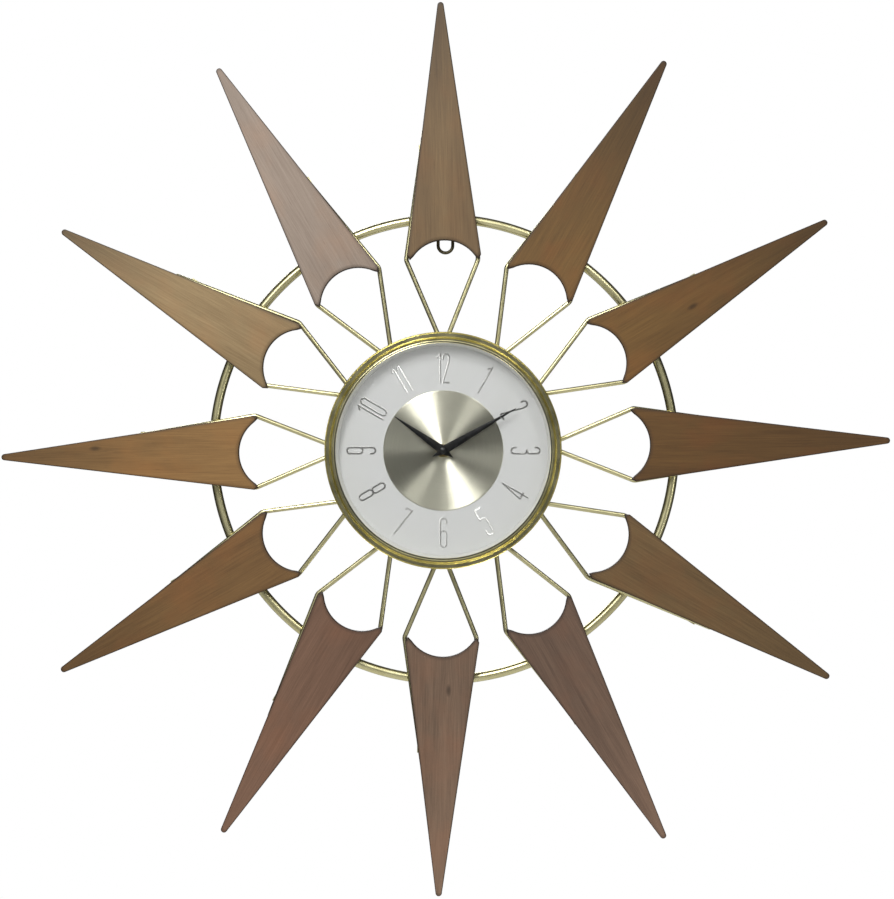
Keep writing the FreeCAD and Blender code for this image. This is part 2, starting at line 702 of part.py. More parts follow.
def make_rotor():
    """Ring magnet with its pinion, pivoted in the cover and the middle plate."""
    x, z = ROTOR_AT
    magnet = rod(MAGNET, SECONDS_LEVEL, SECONDS_LEVEL + MAGNET_HIGH, x, z)
    pinion = gear(ROTOR_TEETH, ROTOR_MODULE, SECONDS_LEVEL + MAGNET_HIGH, ROTOR_PINION_HIGH, x, z, 0)
    return fuse([magnet, pinion] + arbor(x, z, ROTOR_ARBOR))


def make_intermediate_wheel():
    x, z = INTERMEDIATE_AT
    phase = meshed(ROTOR_TEETH, 0, ROTOR_DIRECTION + 180, INTERMEDIATE_TEETH)
    wheel = gear(INTERMEDIATE_TEETH, ROTOR_MODULE, INTERMEDIATE_LEVEL, WHEEL_THICK, x, z, phase)
    pinion = gear(INTERMEDIATE_PINION_TEETH, SECONDS_MODULE, SECONDS_LEVEL - 0.3, INTERMEDIATE_PINION_HIGH,
                  x, z, 0)
    return fuse([wheel, pinion] + arbor(x, z, INTERMEDIATE_ARBOR))


def make_seconds_wheel():
    phase = meshed(INTERMEDIATE_PINION_TEETH, 0, INTERMEDIATE_DIRECTION + 180, SECONDS_TEETH)
    wheel = gear(SECONDS_TEETH, SECONDS_MODULE, SECONDS_LEVEL, WHEEL_THICK, 0, 0, phase)
    pinion = gear(SECONDS_PINION_TEETH, THIRD_MODULE, SECONDS_LEVEL + WHEEL_THICK, SECONDS_PINION_HIGH,
                  0, 0, 0)
    return fuse([wheel, pinion] + arbor(0, 0, SECONDS_ARBOR, ARBOR_BACK + 0.7))


def make_third_wheel():
    x, z = THIRD_AT
    phase = meshed(SECONDS_PINION_TEETH, 0, THIRD_DIRECTION, THIRD_TEETH)
    wheel = gear(THIRD_TEETH, THIRD_MODULE, THIRD_LEVEL, WHEEL_THICK, x, z, phase)
    pinion = gear(THIRD_PINION_TEETH, CENTRE_MODULE, THIRD_LEVEL + WHEEL_THICK, THIRD_PINION_HIGH, x, z, 0)
    return fuse([wheel, pinion] + arbor(x, z, THIRD_ARBOR))


def make_centre_wheel():
    """Wheel that the train drives; it grips the minute arbor by friction."""
    phase = meshed(THIRD_PINION_TEETH, 0, THIRD_DIRECTION + 180, CENTRE_TEETH)
    wheel = gear(CENTRE_TEETH, CENTRE_MODULE, CENTRE_LEVEL, WHEEL_THICK, 0, 0, phase)
    boss = rod(2.2, CENTRE_LEVEL, CENTRE_LEVEL + 1.0)
    return fuse([wheel, boss]).cut(rod(NECK + RUNNING, 0, 20))


def make_minute_arbor():
    """Arbor that carries the minute hand, with the cannon pinion of the motion work."""
    shaft = rod(ARBOR, NECK_END - 0.05, MINUTE_HAND_BACK + HAND_SHEET + 1.7)
    neck = rod(NECK, ARBOR_BACK, NECK_END)
    pinion = gear(CANNON_TEETH, CANNON_MODULE, MOTION_LEVEL - 0.3, CANNON_HIGH, 0, 0, 0)
    return fuse([neck, shaft, pinion]).cut(rod(PIVOT + RUNNING, ARBOR_BACK - 1, ARBOR_BACK + 0.9))


def make_motion_wheel():
    """Wheel and pinion between the cannon pinion and the hour wheel."""
    x, z = MOTION_AT
    phase = meshed(CANNON_TEETH, 0, MOTION_DIRECTION, MOTION_TEETH)
    wheel = gear(MOTION_TEETH, CANNON_MODULE, MOTION_LEVEL, MOTION_THICK, x, z, phase)
    pinion = gear(MOTION_PINION_TEETH, HOUR_MODULE, MOTION_LEVEL + MOTION_THICK, MOTION_PINION_HIGH, x, z, 0)
    return fuse([wheel, pinion]).cut(rod(MOTION_POST + RUNNING, 0, 30, x, z))


def make_hour_wheel():
    """Hour wheel with the pipe that carries the hour hand."""
    phase = meshed(MOTION_PINION_TEETH, 0, MOTION_DIRECTION + 180, HOUR_TEETH)
    wheel = gear(HOUR_TEETH, HOUR_MODULE, HOUR_LEVEL, MOTION_THICK, 0, 0, phase)
    boss = rod(3.4, HOUR_LEVEL, HOUR_LEVEL + 1.6)
    pipe = rod(HOUR_PIPE, HOUR_LEVEL, HOUR_HAND_BACK + HAND_SHEET + 0.4)
    return fuse([wheel, boss, pipe]).cut(rod(HOUR_PIPE_BORE, 0, 40))


def make_setting_knob():
    """Ribbed knob behind the cover whose pinion turns the motion wheel."""
    x, z = KNOB_AT
    phase = meshed(MOTION_TEETH, meshed(CANNON_TEETH, 0, MOTION_DIRECTION, MOTION_TEETH),
                   KNOB_DIRECTION, KNOB_TEETH)
    grip = rod(KNOB_GRIP, KNOB_BACK, KNOB_FRONT, x, z)
    for number in range(KNOB_RIBS):
        rib_x, rib_z = polar(KNOB_GRIP + 0.2, number * 360.0 / KNOB_RIBS)
        grip = grip.cut(rod(KNOB_RIB, KNOB_BACK - 1, KNOB_FRONT + 1, x + rib_x, z + rib_z))
    shaft = rod(NECK, KNOB_FRONT, KNOB_SHAFT_TIP, x, z)
    pinion = gear(KNOB_TEETH, CANNON_MODULE, MOTION_LEVEL - 0.2, KNOB_PINION_HIGH, x, z, phase)
    return fuse([grip, shaft, pinion])


def rounded_square(half, corner, back, front):
    """Square block with round corners."""
    block = slab(-half, half, -half, half, back, front)
    upright = [edge for edge in block.Edges if edge.BoundBox.YLength > front - back - 0.01]
    return block.makeFillet(corner, upright)


def make_movement_case():
    """Moulded front shell: gear chamber above, battery bay below, open at the back."""
    inner = CASE_HALF - CASE_WALL
    shell = rounded_square(CASE_HALF, CASE_CORNER, CASE_BACK, CASE_FRONT)
    shell = shell.cut(rounded_square(inner, CASE_CORNER - CASE_WALL, CASE_BACK - 1, CASE_FRONT - CASE_WALL))
    partition = slab(-inner - 0.2, inner + 0.2, PARTITION_Z, PARTITION_Z + PARTITION_THICK,
                     CASE_BACK, CASE_FRONT - CASE_WALL + 0.2)
    return fuse([shell, partition]).cut(rod(BUSHING + 0.1, 0, 30))


def make_movement_cover():
    """Rear cover of the gear chamber, with pivot holes and the knob's hole."""
    cover = rounded_square(CASE_HALF, CASE_CORNER, COVER_BACK, CASE_BACK - SEAT_PLAY)
    cover = cover.cut(slab(-CASE_HALF, CASE_HALF, -CASE_HALF, PARTITION_Z, 0, CASE_FRONT))
    for x, z in ((0, 0), THIRD_AT, INTERMEDIATE_AT, ROTOR_AT):
        cover = cover.cut(rod(PIVOT + RUNNING, CASE_BACK - PIVOT_DEEP, CASE_BACK + 1, x, z))
    return cover.cut(rod(NECK + SHAFT_PLAY, 0, CASE_FRONT, *KNOB_AT))


def make_middle_plate():
    """Plate between the going train and the motion work, on four pillars."""
    edge = CASE_HALF - CASE_WALL - 0.2
    plate = rounded_square(edge, CASE_CORNER - CASE_WALL, MID_PLATE_BACK, MID_PLATE_FRONT)
    bay = PARTITION_Z + PARTITION_THICK + 0.2
    plate = plate.cut(slab(-CASE_HALF, CASE_HALF, -CASE_HALF, bay, 0, CASE_FRONT))
    pillars = []
    for x, z in PILLARS:
        pillars.append(rod(PILLAR, CASE_BACK, MID_PLATE_BACK, x, z))
    post = rod(MOTION_POST, MID_PLATE_BACK, MOTION_POST_TIP, *MOTION_AT)
    body = fuse([plate, post] + pillars)
    body = body.cut(rod(ARBOR + SHAFT_PLAY, 0, CASE_FRONT))
    body = body.cut(rod(NECK + SHAFT_PLAY, 0, CASE_FRONT, *KNOB_AT))
    for x, z in (THIRD_AT, INTERMEDIATE_AT, ROTOR_AT):
        body = body.cut(rod(PIVOT + RUNNING, 0, CASE_FRONT, x, z))
    return body


def make_stator():
    """Laminated stator: a block round the rotor and two limbs up to the coil's core."""
    block = slab(STATOR_INNER, STATOR_RIGHT, STATOR_FOOT, STATOR_SHOULDER, STATOR_BACK, STATOR_FRONT)
    right_limb = slab(STATOR_RIGHT - STATOR_LIMB, STATOR_RIGHT, STATOR_SHOULDER - JOIN, STATOR_TOP,
                      STATOR_BACK, STATOR_FRONT)
    bridge = slab(STATOR_LEFT, STATOR_INNER + JOIN, STATOR_SHOULDER - STATOR_LIMB, STATOR_SHOULDER,
                  STATOR_BACK, STATOR_FRONT)
    left_limb = slab(STATOR_LEFT, STATOR_LEFT + STATOR_LIMB, STATOR_SHOULDER - JOIN, STATOR_TOP,
                     STATOR_BACK, STATOR_FRONT)
    body = fuse([block, right_limb, bridge, left_limb])
    return body.cut(rod(STATOR_BORE, 0, CASE_FRONT, *ROTOR_AT))


def make_coil():
    """Winding on a bobbin round a steel core that bridges the stator's limbs."""
    solids = [slab(STATOR_LEFT, STATOR_RIGHT, CORE_LOW, CORE_HIGH, STATOR_FRONT + SEAT_PLAY, CORE_FRONT)]
    left_flange = COIL_START - BOBBIN_SHEET + JOIN
    right_flange = COIL_START + COIL_LONG - JOIN
    for start, length, radius in ((left_flange, BOBBIN_SHEET, BOBBIN_RADIUS),
                                  (COIL_START, COIL_LONG, COIL_RADIUS),
                                  (right_flange, BOBBIN_SHEET, BOBBIN_RADIUS)):
        solids.append(Part.makeCylinder(radius, length, Vector(start, -COIL_RISE, COIL_Z), Vector(1, 0, 0)))
    return fuse(solids)


def make_circuit_board():
    """Board with its chip and the can of its quartz crystal."""
    board = slab(BOARD_LEFT, BOARD_RIGHT, BOARD_LOW, BOARD_HIGH, BOARD_BACK, BOARD_FRONT)
    under = BOARD_BACK - SEAT_PLAY
    chip_x, chip_z = CHIP_AT
    chip = slab(chip_x, chip_x + CHIP_SIDE, chip_z, chip_z + CHIP_SIDE, under - CHIP_HIGH, under)
    crystal_x, crystal_z = CRYSTAL_AT
    crystal_rise = BOARD_BACK - CRYSTAL_RADIUS - 0.2
    crystal = Part.makeCylinder(CRYSTAL_RADIUS, CRYSTAL_LONG, Vector(crystal_x, -crystal_rise, crystal_z),
                                Vector(0, 0, 1))
    return compound([board, chip, crystal])


def make_battery():
    """Dry cell of the common 14 by 50 mm size, lying in its bay."""
    start = BATTERY_OFFSET - BATTERY_LONG / 2
    body = Part.makeCylinder(BATTERY_RADIUS, BATTERY_LONG, Vector(start, -BATTERY_RISE, BATTERY_Z),
                             Vector(1, 0, 0))
    button = Part.makeCylinder(BUTTON_RADIUS, BUTTON_HIGH,
                               Vector(start + BATTERY_LONG, -BATTERY_RISE, BATTERY_Z), Vector(1, 0, 0))
    return fuse([body, button])


def make_battery_contacts():
    """Sprung strips at the two ends of the battery bay."""
    strips = []
    wall = CASE_HALF - CASE_WALL - 0.05
    face = wall - CONTACT_SHEET
    for side, reach in zip((-1, 1), CONTACT_REACH):
        plate = slab(min(side * wall, side * face), max(side * wall, side * face),
                     BATTERY_Z - CONTACT_HALF, BATTERY_Z + CONTACT_HALF, CONTACT_BACK, CONTACT_FRONT)
        nose = Part.makeCone(*CONTACT_NOSE, face - reach, Vector(side * face, -BATTERY_RISE, BATTERY_Z),
                             Vector(-side, 0, 0))
        strips.append(fuse([plate, nose]))
    return compound(strips)


# ----------------------------------------------------------------------------- build
def main():
    ring = make_outer_ring()
    save("outer_ring", ring)
    save("hanging_loop", make_hanging_loop(ring))
    for hour in range(RAYS):
        number = hour if hour else RAYS
        save("ray_wire_%02d" % number, make_ray_wire(hour))
        save("blade_%02d" % number, make_blade(hour))
    save("blade_straps", make_straps())
    save("blade_screws", make_blade_screws())

    save("case_pan", make_case_pan())
    save("bezel", make_bezel())
    save("lens", rod(LENS_RADIUS, LENS_BACK, LENS_FRONT - SEAT_PLAY))
    save("lens_gasket", tube(LENS_RADIUS, BEZEL_LIP + 0.3, LENS_FRONT, LENS_SEAT - SEAT_PLAY))
    save("dial_surround", make_dial_surround())
    save("dial_plate", tube(PLATE_RADIUS, BUSHING + 0.2, FLANGE_FRONT, PLATE_FRONT))
    save("dial", tube(DIAL_RADIUS, BUSHING + 0.2, PLATE_FRONT, DIAL_FRONT))
    save("centre_disc", tube(DISC_RADIUS, BUSHING + 0.2, DIAL_FRONT, DISC_FRONT))
    save("numerals", make_numerals())
    save("hour_hand", make_hand(HOUR_REACH, HOUR_HAND_BACK, HOUR_PIPE + SEAT_PLAY, 0.6, HOUR_ANGLE))
    save("minute_hand", make_hand(MINUTE_REACH, MINUTE_HAND_BACK, ARBOR + SEAT_PLAY, 0.8, MINUTE_ANGLE))
    save("hand_nut", make_hand_nut())
    save("bushing", make_bushing())
    save("bushing_nut", make_bushing_nut())
    save("rubber_washer", tube(9.0, BUSHING + 0.2, CASE_FRONT, FLANGE_FRONT))

    save("movement_case", make_movement_case())
    save("movement_cover", make_movement_cover())
    save("middle_plate", make_middle_plate())
    save("rotor", make_rotor())
    save("intermediate_wheel", make_intermediate_wheel())
    save("seconds_wheel", make_seconds_wheel())
    save("third_wheel", make_third_wheel())
    save("centre_wheel", make_centre_wheel())
    save("minute_arbor", make_minute_arbor())
    save("motion_wheel", make_motion_wheel())
    save("hour_wheel", make_hour_wheel())
    save("setting_knob", make_setting_knob())
    save("stator", make_stator())
    save("coil", make_coil())
    save("circuit_board", make_circuit_board())
    save("battery", make_battery())
    save("battery_contacts", make_battery_contacts())


main()
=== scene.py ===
"""Looks of the sunburst wall clock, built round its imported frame.

Metres, +Z up, the dial faces -Y.  "Rise" is the distance out from the wall, so y = -rise.
"""
import math

import bmesh
import bpy
import numpy as np
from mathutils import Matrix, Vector


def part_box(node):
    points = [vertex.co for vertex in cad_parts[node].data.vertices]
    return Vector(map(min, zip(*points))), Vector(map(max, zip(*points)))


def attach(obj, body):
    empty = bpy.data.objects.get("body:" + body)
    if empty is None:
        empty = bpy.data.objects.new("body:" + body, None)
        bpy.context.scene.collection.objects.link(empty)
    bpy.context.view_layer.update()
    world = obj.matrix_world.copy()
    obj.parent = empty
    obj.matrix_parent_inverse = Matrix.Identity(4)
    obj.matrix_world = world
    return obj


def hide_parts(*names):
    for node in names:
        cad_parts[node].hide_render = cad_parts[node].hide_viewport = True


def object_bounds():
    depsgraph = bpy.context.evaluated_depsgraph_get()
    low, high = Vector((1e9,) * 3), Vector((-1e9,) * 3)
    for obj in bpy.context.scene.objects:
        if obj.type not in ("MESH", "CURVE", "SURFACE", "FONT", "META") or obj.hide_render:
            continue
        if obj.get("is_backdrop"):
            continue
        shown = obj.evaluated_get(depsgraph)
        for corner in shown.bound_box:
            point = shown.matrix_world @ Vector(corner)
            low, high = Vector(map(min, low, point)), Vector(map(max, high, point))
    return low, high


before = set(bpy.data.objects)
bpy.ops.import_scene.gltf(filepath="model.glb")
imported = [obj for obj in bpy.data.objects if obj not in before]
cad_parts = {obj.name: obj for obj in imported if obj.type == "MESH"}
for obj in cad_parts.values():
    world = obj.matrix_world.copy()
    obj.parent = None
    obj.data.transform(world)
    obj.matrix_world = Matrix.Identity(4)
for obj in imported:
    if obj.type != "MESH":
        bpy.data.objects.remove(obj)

bl_info = {
    "name": "Sunburst wall clock",
    "version": (1, 0, 0),
    "blender": (4, 5, 0),
    "location": "View3D > Sidebar > Clock",
    "description": "Builds the wood, gold wire, dial and hands of a sunburst wall clock round its frame",
    "category": "Object",
}

RAYS = range(1, 13)
ROOT = "clock_frame"
MM = 0.001

# ------------------------------------------------------------------ read from the frame


def corners(node):
    """Lowest and highest corner of a CAD node as two arrays."""
    low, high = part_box(node)
    return np.array(low), np.array(high)


def rises(node):
    """Back and front rise of a CAD node."""
    low, high = corners(node)
    return -high[1], -low[1]


def radius_of(node):
    low, high = corners(node)
    return (high[0] - low[0]) / 2


def middle(node):
    """Middle of a CAD node in the wall plane, as x and z."""
    low, high = corners(node)
    return np.array([(low[0] + high[0]) / 2, (low[2] + high[2]) / 2])


AXIS = middle("centre_disc")          # the hands' axis
FRAME_AT = AXIS + np.array([0.7, 1.8]) * MM    # the wires' centre sits a little off the hands' axis
RING_AT = middle("outer_ring")
RING_BACK, RING_FRONT = rises("outer_ring")
RING_TUBE = (RING_FRONT - RING_BACK) / 2
RING_RADIUS = radius_of("outer_ring") - RING_TUBE
WIRE_BACK, WIRE_FRONT = rises("ray_wire_12")
LOOP_WIRE = (rises("hanging_loop")[1] - rises("hanging_loop")[0]) / 2
BLADE_BACK, BLADE_FRONT = rises("blade_12")


def surface_spots(node):
    """Middles of a CAD node's faces in the wall plane, and their areas."""
    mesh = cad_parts[node].data
    centres = np.empty(len(mesh.polygons) * 3)
    areas = np.empty(len(mesh.polygons))
    mesh.polygons.foreach_get("center", centres)
    mesh.polygons.foreach_get("area", areas)
    return centres.reshape(-1, 3)[:, [0, 2]], areas


def ray_seat(hour):
    """Where a ray is drawn from: its origin near the frame's centre, and its angle from twelve.

    A ray's wire is alike on both sides of its axis, so the axis runs through the middle of
    its surface, along the direction in which that surface spreads most.
    """
    spots, areas = surface_spots("ray_wire_%02d" % hour)
    mean = (spots * areas[:, None]).sum(axis=0) / areas.sum()
    off = spots - mean
    _, directions = np.linalg.eigh((off * areas[:, None]).T @ off)
    out = directions[:, 1] * np.sign(directions[:, 1] @ (mean - AXIS))
    across = np.array([out[1], -out[0]])
    return FRAME_AT + across * ((mean - FRAME_AT) @ across), math.atan2(out[0], out[1])


def blade_shift(hour):
    """How far a blade sits sideways from its ray's axis, and how far out its tip is."""
    at, angle = ray_seat(hour)
    out = np.array([math.sin(angle), math.cos(angle)])
    across = np.array([out[1], -out[0]])
    spots, areas = surface_spots("blade_%02d" % hour)
    slide = ((spots - at) @ across * areas).sum() / areas.sum()
    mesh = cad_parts["blade_%02d" % hour].data
    points = np.empty(len(mesh.vertices) * 3)
    mesh.vertices.foreach_get("co", points)
    return slide, ((points.reshape(-1, 3)[:, [0, 2]] - at) @ out).max()


def placed(local_x, local_z, at, angle):
    """Points drawn upright about the origin, turned clockwise by an angle and moved to a place."""
    return (at[0] + local_z * math.sin(angle) + local_x * math.cos(angle),
            at[1] + local_z * math.cos(angle) - local_x * math.sin(angle))


# ------------------------------------------------------------------------ settings


class ClockSizes(bpy.types.PropertyGroup):
    """Sizes a user would change; defaults come from the frame."""

    blade_slope: bpy.props.FloatProperty(
        name="Blade taper", description="Half width that a blade gains for each metre towards its base",
        default=0.1352, min=0.05, max=0.3, precision=4)
    blade_apex: bpy.props.FloatProperty(
        name="Blade apex", description="Radius at which a blade's straight sides would meet",
        default=0.399, subtype="DISTANCE", unit="LENGTH", precision=4)
    blade_tip: bpy.props.FloatProperty(
        name="Blade tip", description="Radius of a blade's tip from the frame's centre",
        default=0.381, subtype="DISTANCE", unit="LENGTH", precision=4)
    blade_tip_round: bpy.props.FloatProperty(
        name="Tip rounding", description="Radius of the rounded tip",
        default=0.0027, subtype="DISTANCE", unit="LENGTH", precision=4)
    blade_shoulder: bpy.props.FloatProperty(
        name="Blade shoulder", description="Radius at which the straight sides end, near the base",
        default=0.164, subtype="DISTANCE", unit="LENGTH", precision=4)
    blade_corner: bpy.props.FloatProperty(
        name="Blade corner", description="Radius of the two points of the base",
        default=0.1595, subtype="DISTANCE", unit="LENGTH", precision=4)
    blade_corner_half: bpy.props.FloatProperty(
        name="Corner half width", description="Half the distance between the two points of the base",
        default=0.0287, subtype="DISTANCE", unit="LENGTH", precision=4)
    blade_hollow: bpy.props.FloatProperty(
        name="Blade hollow", description="Radius of the deepest point of the hollow base",
        default=0.1765, subtype="DISTANCE", unit="LENGTH", precision=4)
    blade_ease: bpy.props.FloatProperty(
        name="Eased edge", description="Rounding of a blade's edges",
        default=0.0007, subtype="DISTANCE", unit="LENGTH", precision=4)
    wire_end: bpy.props.FloatProperty(
        name="Wire end", description="Radius at which a ray's wire ends under its blade",
        default=0.274, subtype="DISTANCE", unit="LENGTH", precision=4)
    wire_bend: bpy.props.FloatProperty(
        name="Wire bend", description="Radius of the wire's bend at the blade's corner",
        default=0.1627, subtype="DISTANCE", unit="LENGTH", precision=4)
    wire_apex: bpy.props.FloatProperty(
        name="Wire apex", description="Radius of the apex of the wire's V, behind the bezel",
        default=0.0872, subtype="DISTANCE", unit="LENGTH", precision=4)
    wire_inset: bpy.props.FloatProperty(
        name="Wire inset", description="Distance of the wire's centre line inside the blade's edge at its bend",
        default=0.0012, subtype="DISTANCE", unit="LENGTH", precision=4)
    wire_end_inset: bpy.props.FloatProperty(
        name="Wire end inset", description="Distance of the wire's centre line inside the blade's edge at its end",
        default=0.003, subtype="DISTANCE", unit="LENGTH", precision=4)
    numeral_radius: bpy.props.FloatProperty(
        name="Numeral circle", description="Radius of the circle on which the numerals are centred",
        default=0.0703, subtype="DISTANCE", unit="LENGTH", precision=4)
    numeral_height: bpy.props.FloatProperty(
        name="Numeral height", description="Height of a numeral over its strokes",
        default=0.0258, subtype="DISTANCE", unit="LENGTH", precision=4)
    numeral_stroke: bpy.props.FloatProperty(
        name="Numeral stroke", description="Width of a numeral's stroke",
        default=0.0015, subtype="DISTANCE", unit="LENGTH", precision=4)


class ClockColours(bpy.types.PropertyGroup):
    """Colours a user would change."""

    gold: bpy.props.FloatVectorProperty(
        name="Gold", description="Colour of the pale gold metal", subtype="COLOR", size=3,
        default=(0.88, 0.82, 0.48), min=0.0, max=1.0)
    gold_shade: bpy.props.FloatVectorProperty(
        name="Gold in recesses", description="Colour of tarnish in the gold metal", subtype="COLOR", size=3,
        default=(0.80, 0.74, 0.40), min=0.0, max=1.0)
    dial: bpy.props.FloatVectorProperty(
        name="Dial", description="Colour of the printed dial", subtype="COLOR", size=3,
        default=(0.66, 0.67, 0.66), min=0.0, max=1.0)
    disc: bpy.props.FloatVectorProperty(
        name="Disc", description="Colour of the brushed disc", subtype="COLOR", size=3,
        default=(0.72, 0.71, 0.58), min=0.0, max=1.0)
    foil: bpy.props.FloatVectorProperty(
        name="Numerals", description="Colour of the foil numerals", subtype="COLOR", size=3,
        default=(0.62, 0.62, 0.60), min=0.0, max=1.0)
    hands: bpy.props.FloatVectorProperty(
        name="Hands", description="Colour of the lacquered hands", subtype="COLOR", size=3,
        default=(0.008, 0.008, 0.008), min=0.0, max=1.0)


# ---------------------------------------------------------------------- mesh helpers


def quads(rows, columns, wrap_rows=False, wrap_columns=False):
    """Corner indices of the quads of a grid of points, row by row.

    A quad takes point (i, j), the next in its row, the one below that, and the one below
    (i, j); a wrapped side joins its last line of points to its first.
    """
    i = np.arange(rows if wrap_rows else rows - 1)[:, None]
    j = np.arange(columns if wrap_columns else columns - 1)[None, :]
    below = (i + 1) % rows
    beside = (j + 1) % columns
    faces = np.stack([i * columns + j + 0 * below, i * columns + beside,
                      below * columns + beside, below * columns + j], axis=-1)
    return faces.reshape(-1, 4)


def joined(parts):
    """Several (points, faces, uv) surfaces as one."""
    offset = 0
    points, faces, uvs = [], [], []
    for part_points, part_faces, part_uv in parts:
        points.append(part_points)
        faces.append(part_faces + offset)
        uvs.append(part_uv)
        offset += len(part_points)
    return np.concatenate(points), np.concatenate(faces), np.concatenate(uvs)


def tidy_surface(points, faces, uvs):
    """Drops quads that have shrunk to a line or a point at a pole; a quad shrunk to a triangle keeps its repeated
    corner.
    """
    near = np.round(points[faces] / 1e-7).astype(np.int64)
    same = (near == np.roll(near, -1, axis=1)).all(axis=2)
    keep = same.sum(axis=1) < 2
    return faces[keep], uvs[keep]


def new_piece(name, surface, material, body=ROOT, replaces=(), mask=None, mask_name="rim"):
    """Makes a smooth-shaded object from (points, faces, uv), with one UV pair a face corner."""
    points, faces, uvs = surface
    faces, uvs = tidy_surface(points, faces, uvs)
    mesh = bpy.data.meshes.new(name)
    mesh.vertices.add(len(points))
    mesh.vertices.foreach_set("co", points.astype(np.float32).ravel())
    mesh.loops.add(faces.size)
    mesh.loops.foreach_set("vertex_index", faces.astype(np.int32).ravel())
    mesh.polygons.add(len(faces))
    mesh.polygons.foreach_set("loop_start", np.arange(0, faces.size, 4, dtype=np.int32))
    mesh.polygons.foreach_set("use_smooth", np.ones(len(faces), dtype=bool))
    layer = mesh.uv_layers.new(name="UVMap")
    layer.data.foreach_set("uv", uvs.astype(np.float32).ravel())
    if mask is not None:
        attribute = mesh.attributes.new(mask_name, "FLOAT", "POINT")
        attribute.data.foreach_set("value", mask.astype(np.float32))
    mesh.update(calc_edges=True)
    mesh.validate()
    merge_seams(mesh)
    mesh.materials.append(material)
    piece = bpy.data.objects.new(name, mesh)
    bpy.context.scene.collection.objects.link(piece)
    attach(piece, body)
    if replaces:
        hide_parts(*replaces)
    return piece


def merge_seams(mesh):
    """Welds points that share a place, so that poles and seams are closed, and turns faces outwards."""
    shell = bmesh.new()
    shell.from_mesh(mesh)
    bmesh.ops.remove_doubles(shell, verts=shell.verts, dist=2e-7)
    bmesh.ops.dissolve_degenerate(shell, edges=shell.edges, dist=1e-8)
    bmesh.ops.recalc_face_normals(shell, faces=shell.faces)
    shell.to_mesh(mesh)
    shell.free()


def sharpen(piece, degrees=35.0):
    """Marks edges that turn by more than an angle as sharp, so flats and bevels shade cleanly."""
    piece.data.set_sharp_from_angle(angle=math.radians(degrees))


def wall_point(x, z, rise):
    """Points from x and z in the wall plane and a rise, as an array with a last axis of 3."""
    x, z, rise = np.broadcast_arrays(x, z, rise)
    return np.stack([x, -rise, z], axis=-1)


def turned(profile, at=AXIS, steps=192, ripple=None):
    """Surface of revolution about an axis out of the wall.

    A point is the centre plus radius times (sine, cosine) of the angle, at the profile's
    rise; ripple, if given, multiplies the radius by a function of angle and radius.  The
    UV's first part is the length along the profile and its second the angle's share.
    """
    profile = np.asarray(profile, dtype=float)
    angle = np.arange(steps) * 2 * math.pi / steps
    radius = np.repeat(profile[:, :1], steps, axis=1)
    if ripple is not None:
        radius = radius * ripple(angle[None, :], profile[:, :1], profile[:, 1:2])
    x = at[0] + radius * np.sin(angle)
    z = at[1] + radius * np.cos(angle)
    points = wall_point(x, z, profile[:, 1:2] + 0 * angle).reshape(-1, 3)
    rows = len(profile)
    faces = quads(rows, steps, wrap_columns=True)
    run = np.concatenate([[0], np.cumsum(np.hypot(*np.diff(profile, axis=0).T))])
    row = np.repeat(np.arange(rows - 1), steps)
    column = np.tile(np.arange(steps), rows - 1)
    u = np.stack([run[row], run[row], run[row + 1], run[row + 1]], axis=1)
    v = np.stack([column, column + 1, column + 1, column], axis=1) / steps
    return points, faces, np.stack([u, v], axis=-1)


def bow(start, end, bulge, steps=8):
    """Points of a circular arc between two profile points, standing out by bulge to the left."""
    start, end = np.asarray(start, float), np.asarray(end, float)
    chord = end - start
    half = np.hypot(*chord) / 2
    turn = 2 * math.atan2(abs(bulge), half)
    share = np.linspace(-1, 1, steps + 1)[:, None] * turn
    radius = half / math.sin(turn)
    along = chord / (2 * half)
    across = np.array([-along[1], along[0]]) * math.copysign(1, bulge)
    centre = (start + end) / 2 - across * radius * math.cos(turn)
    return centre + radius * (np.sin(share) * along + np.cos(share) * across)


def route(points, rounds, steps=10, closed=False):
    """Polyline through corners, each rounded by a tangent arc of its own radius.

    Where the radius is nought the corner stays sharp.  Points are pairs.
    """
    points = [np.asarray(p, float) for p in points]
    out = [] if closed else [points[0][None, :]]
    count = len(points)
    inner = range(count) if closed else range(1, count - 1)
    for place, radius in zip(inner, rounds):
        before, corner, after = points[place - 1], points[place], points[(place + 1) % count]
        way_in = (corner - before) / np.hypot(*(corner - before))
        way_out = (after - corner) / np.hypot(*(after - corner))
        turn = math.atan2(way_in[0] * way_out[1] - way_in[1] * way_out[0], way_in @ way_out)
        if radius <= 0 or abs(turn) < 1e-6:
            out.append(corner[None, :])
            continue
        reach = radius * math.tan(abs(turn) / 2)
        side = np.array([-way_in[1], way_in[0]]) * math.copysign(1, turn)
        centre = corner - way_in * reach + side * radius
        swing = np.linspace(0, turn, steps + 1)[:, None]
        spoke = -side * radius
        out.append(centre + np.concatenate([np.cos(swing) * spoke[0] - np.sin(swing) * spoke[1],
                                            np.sin(swing) * spoke[0] + np.cos(swing) * spoke[1]], axis=1))
    if not closed:
        out.append(points[-1][None, :])
    return np.concatenate(out)


def spread(path, spacing, closed=False):
    """The same polyline with points added so that none are further apart than spacing."""
    if closed:
        path = np.concatenate([path, path[:1]])
    gaps = np.hypot(*np.diff(path, axis=0).T)
    counts = np.maximum(1, np.ceil(gaps / spacing)).astype(int)
    pieces = [a + (b - a) * (np.arange(n) / n)[:, None] for a, b, n in zip(path, path[1:], counts)]
    if not closed:
        pieces.append(path[-1:])
    return np.concatenate(pieces)


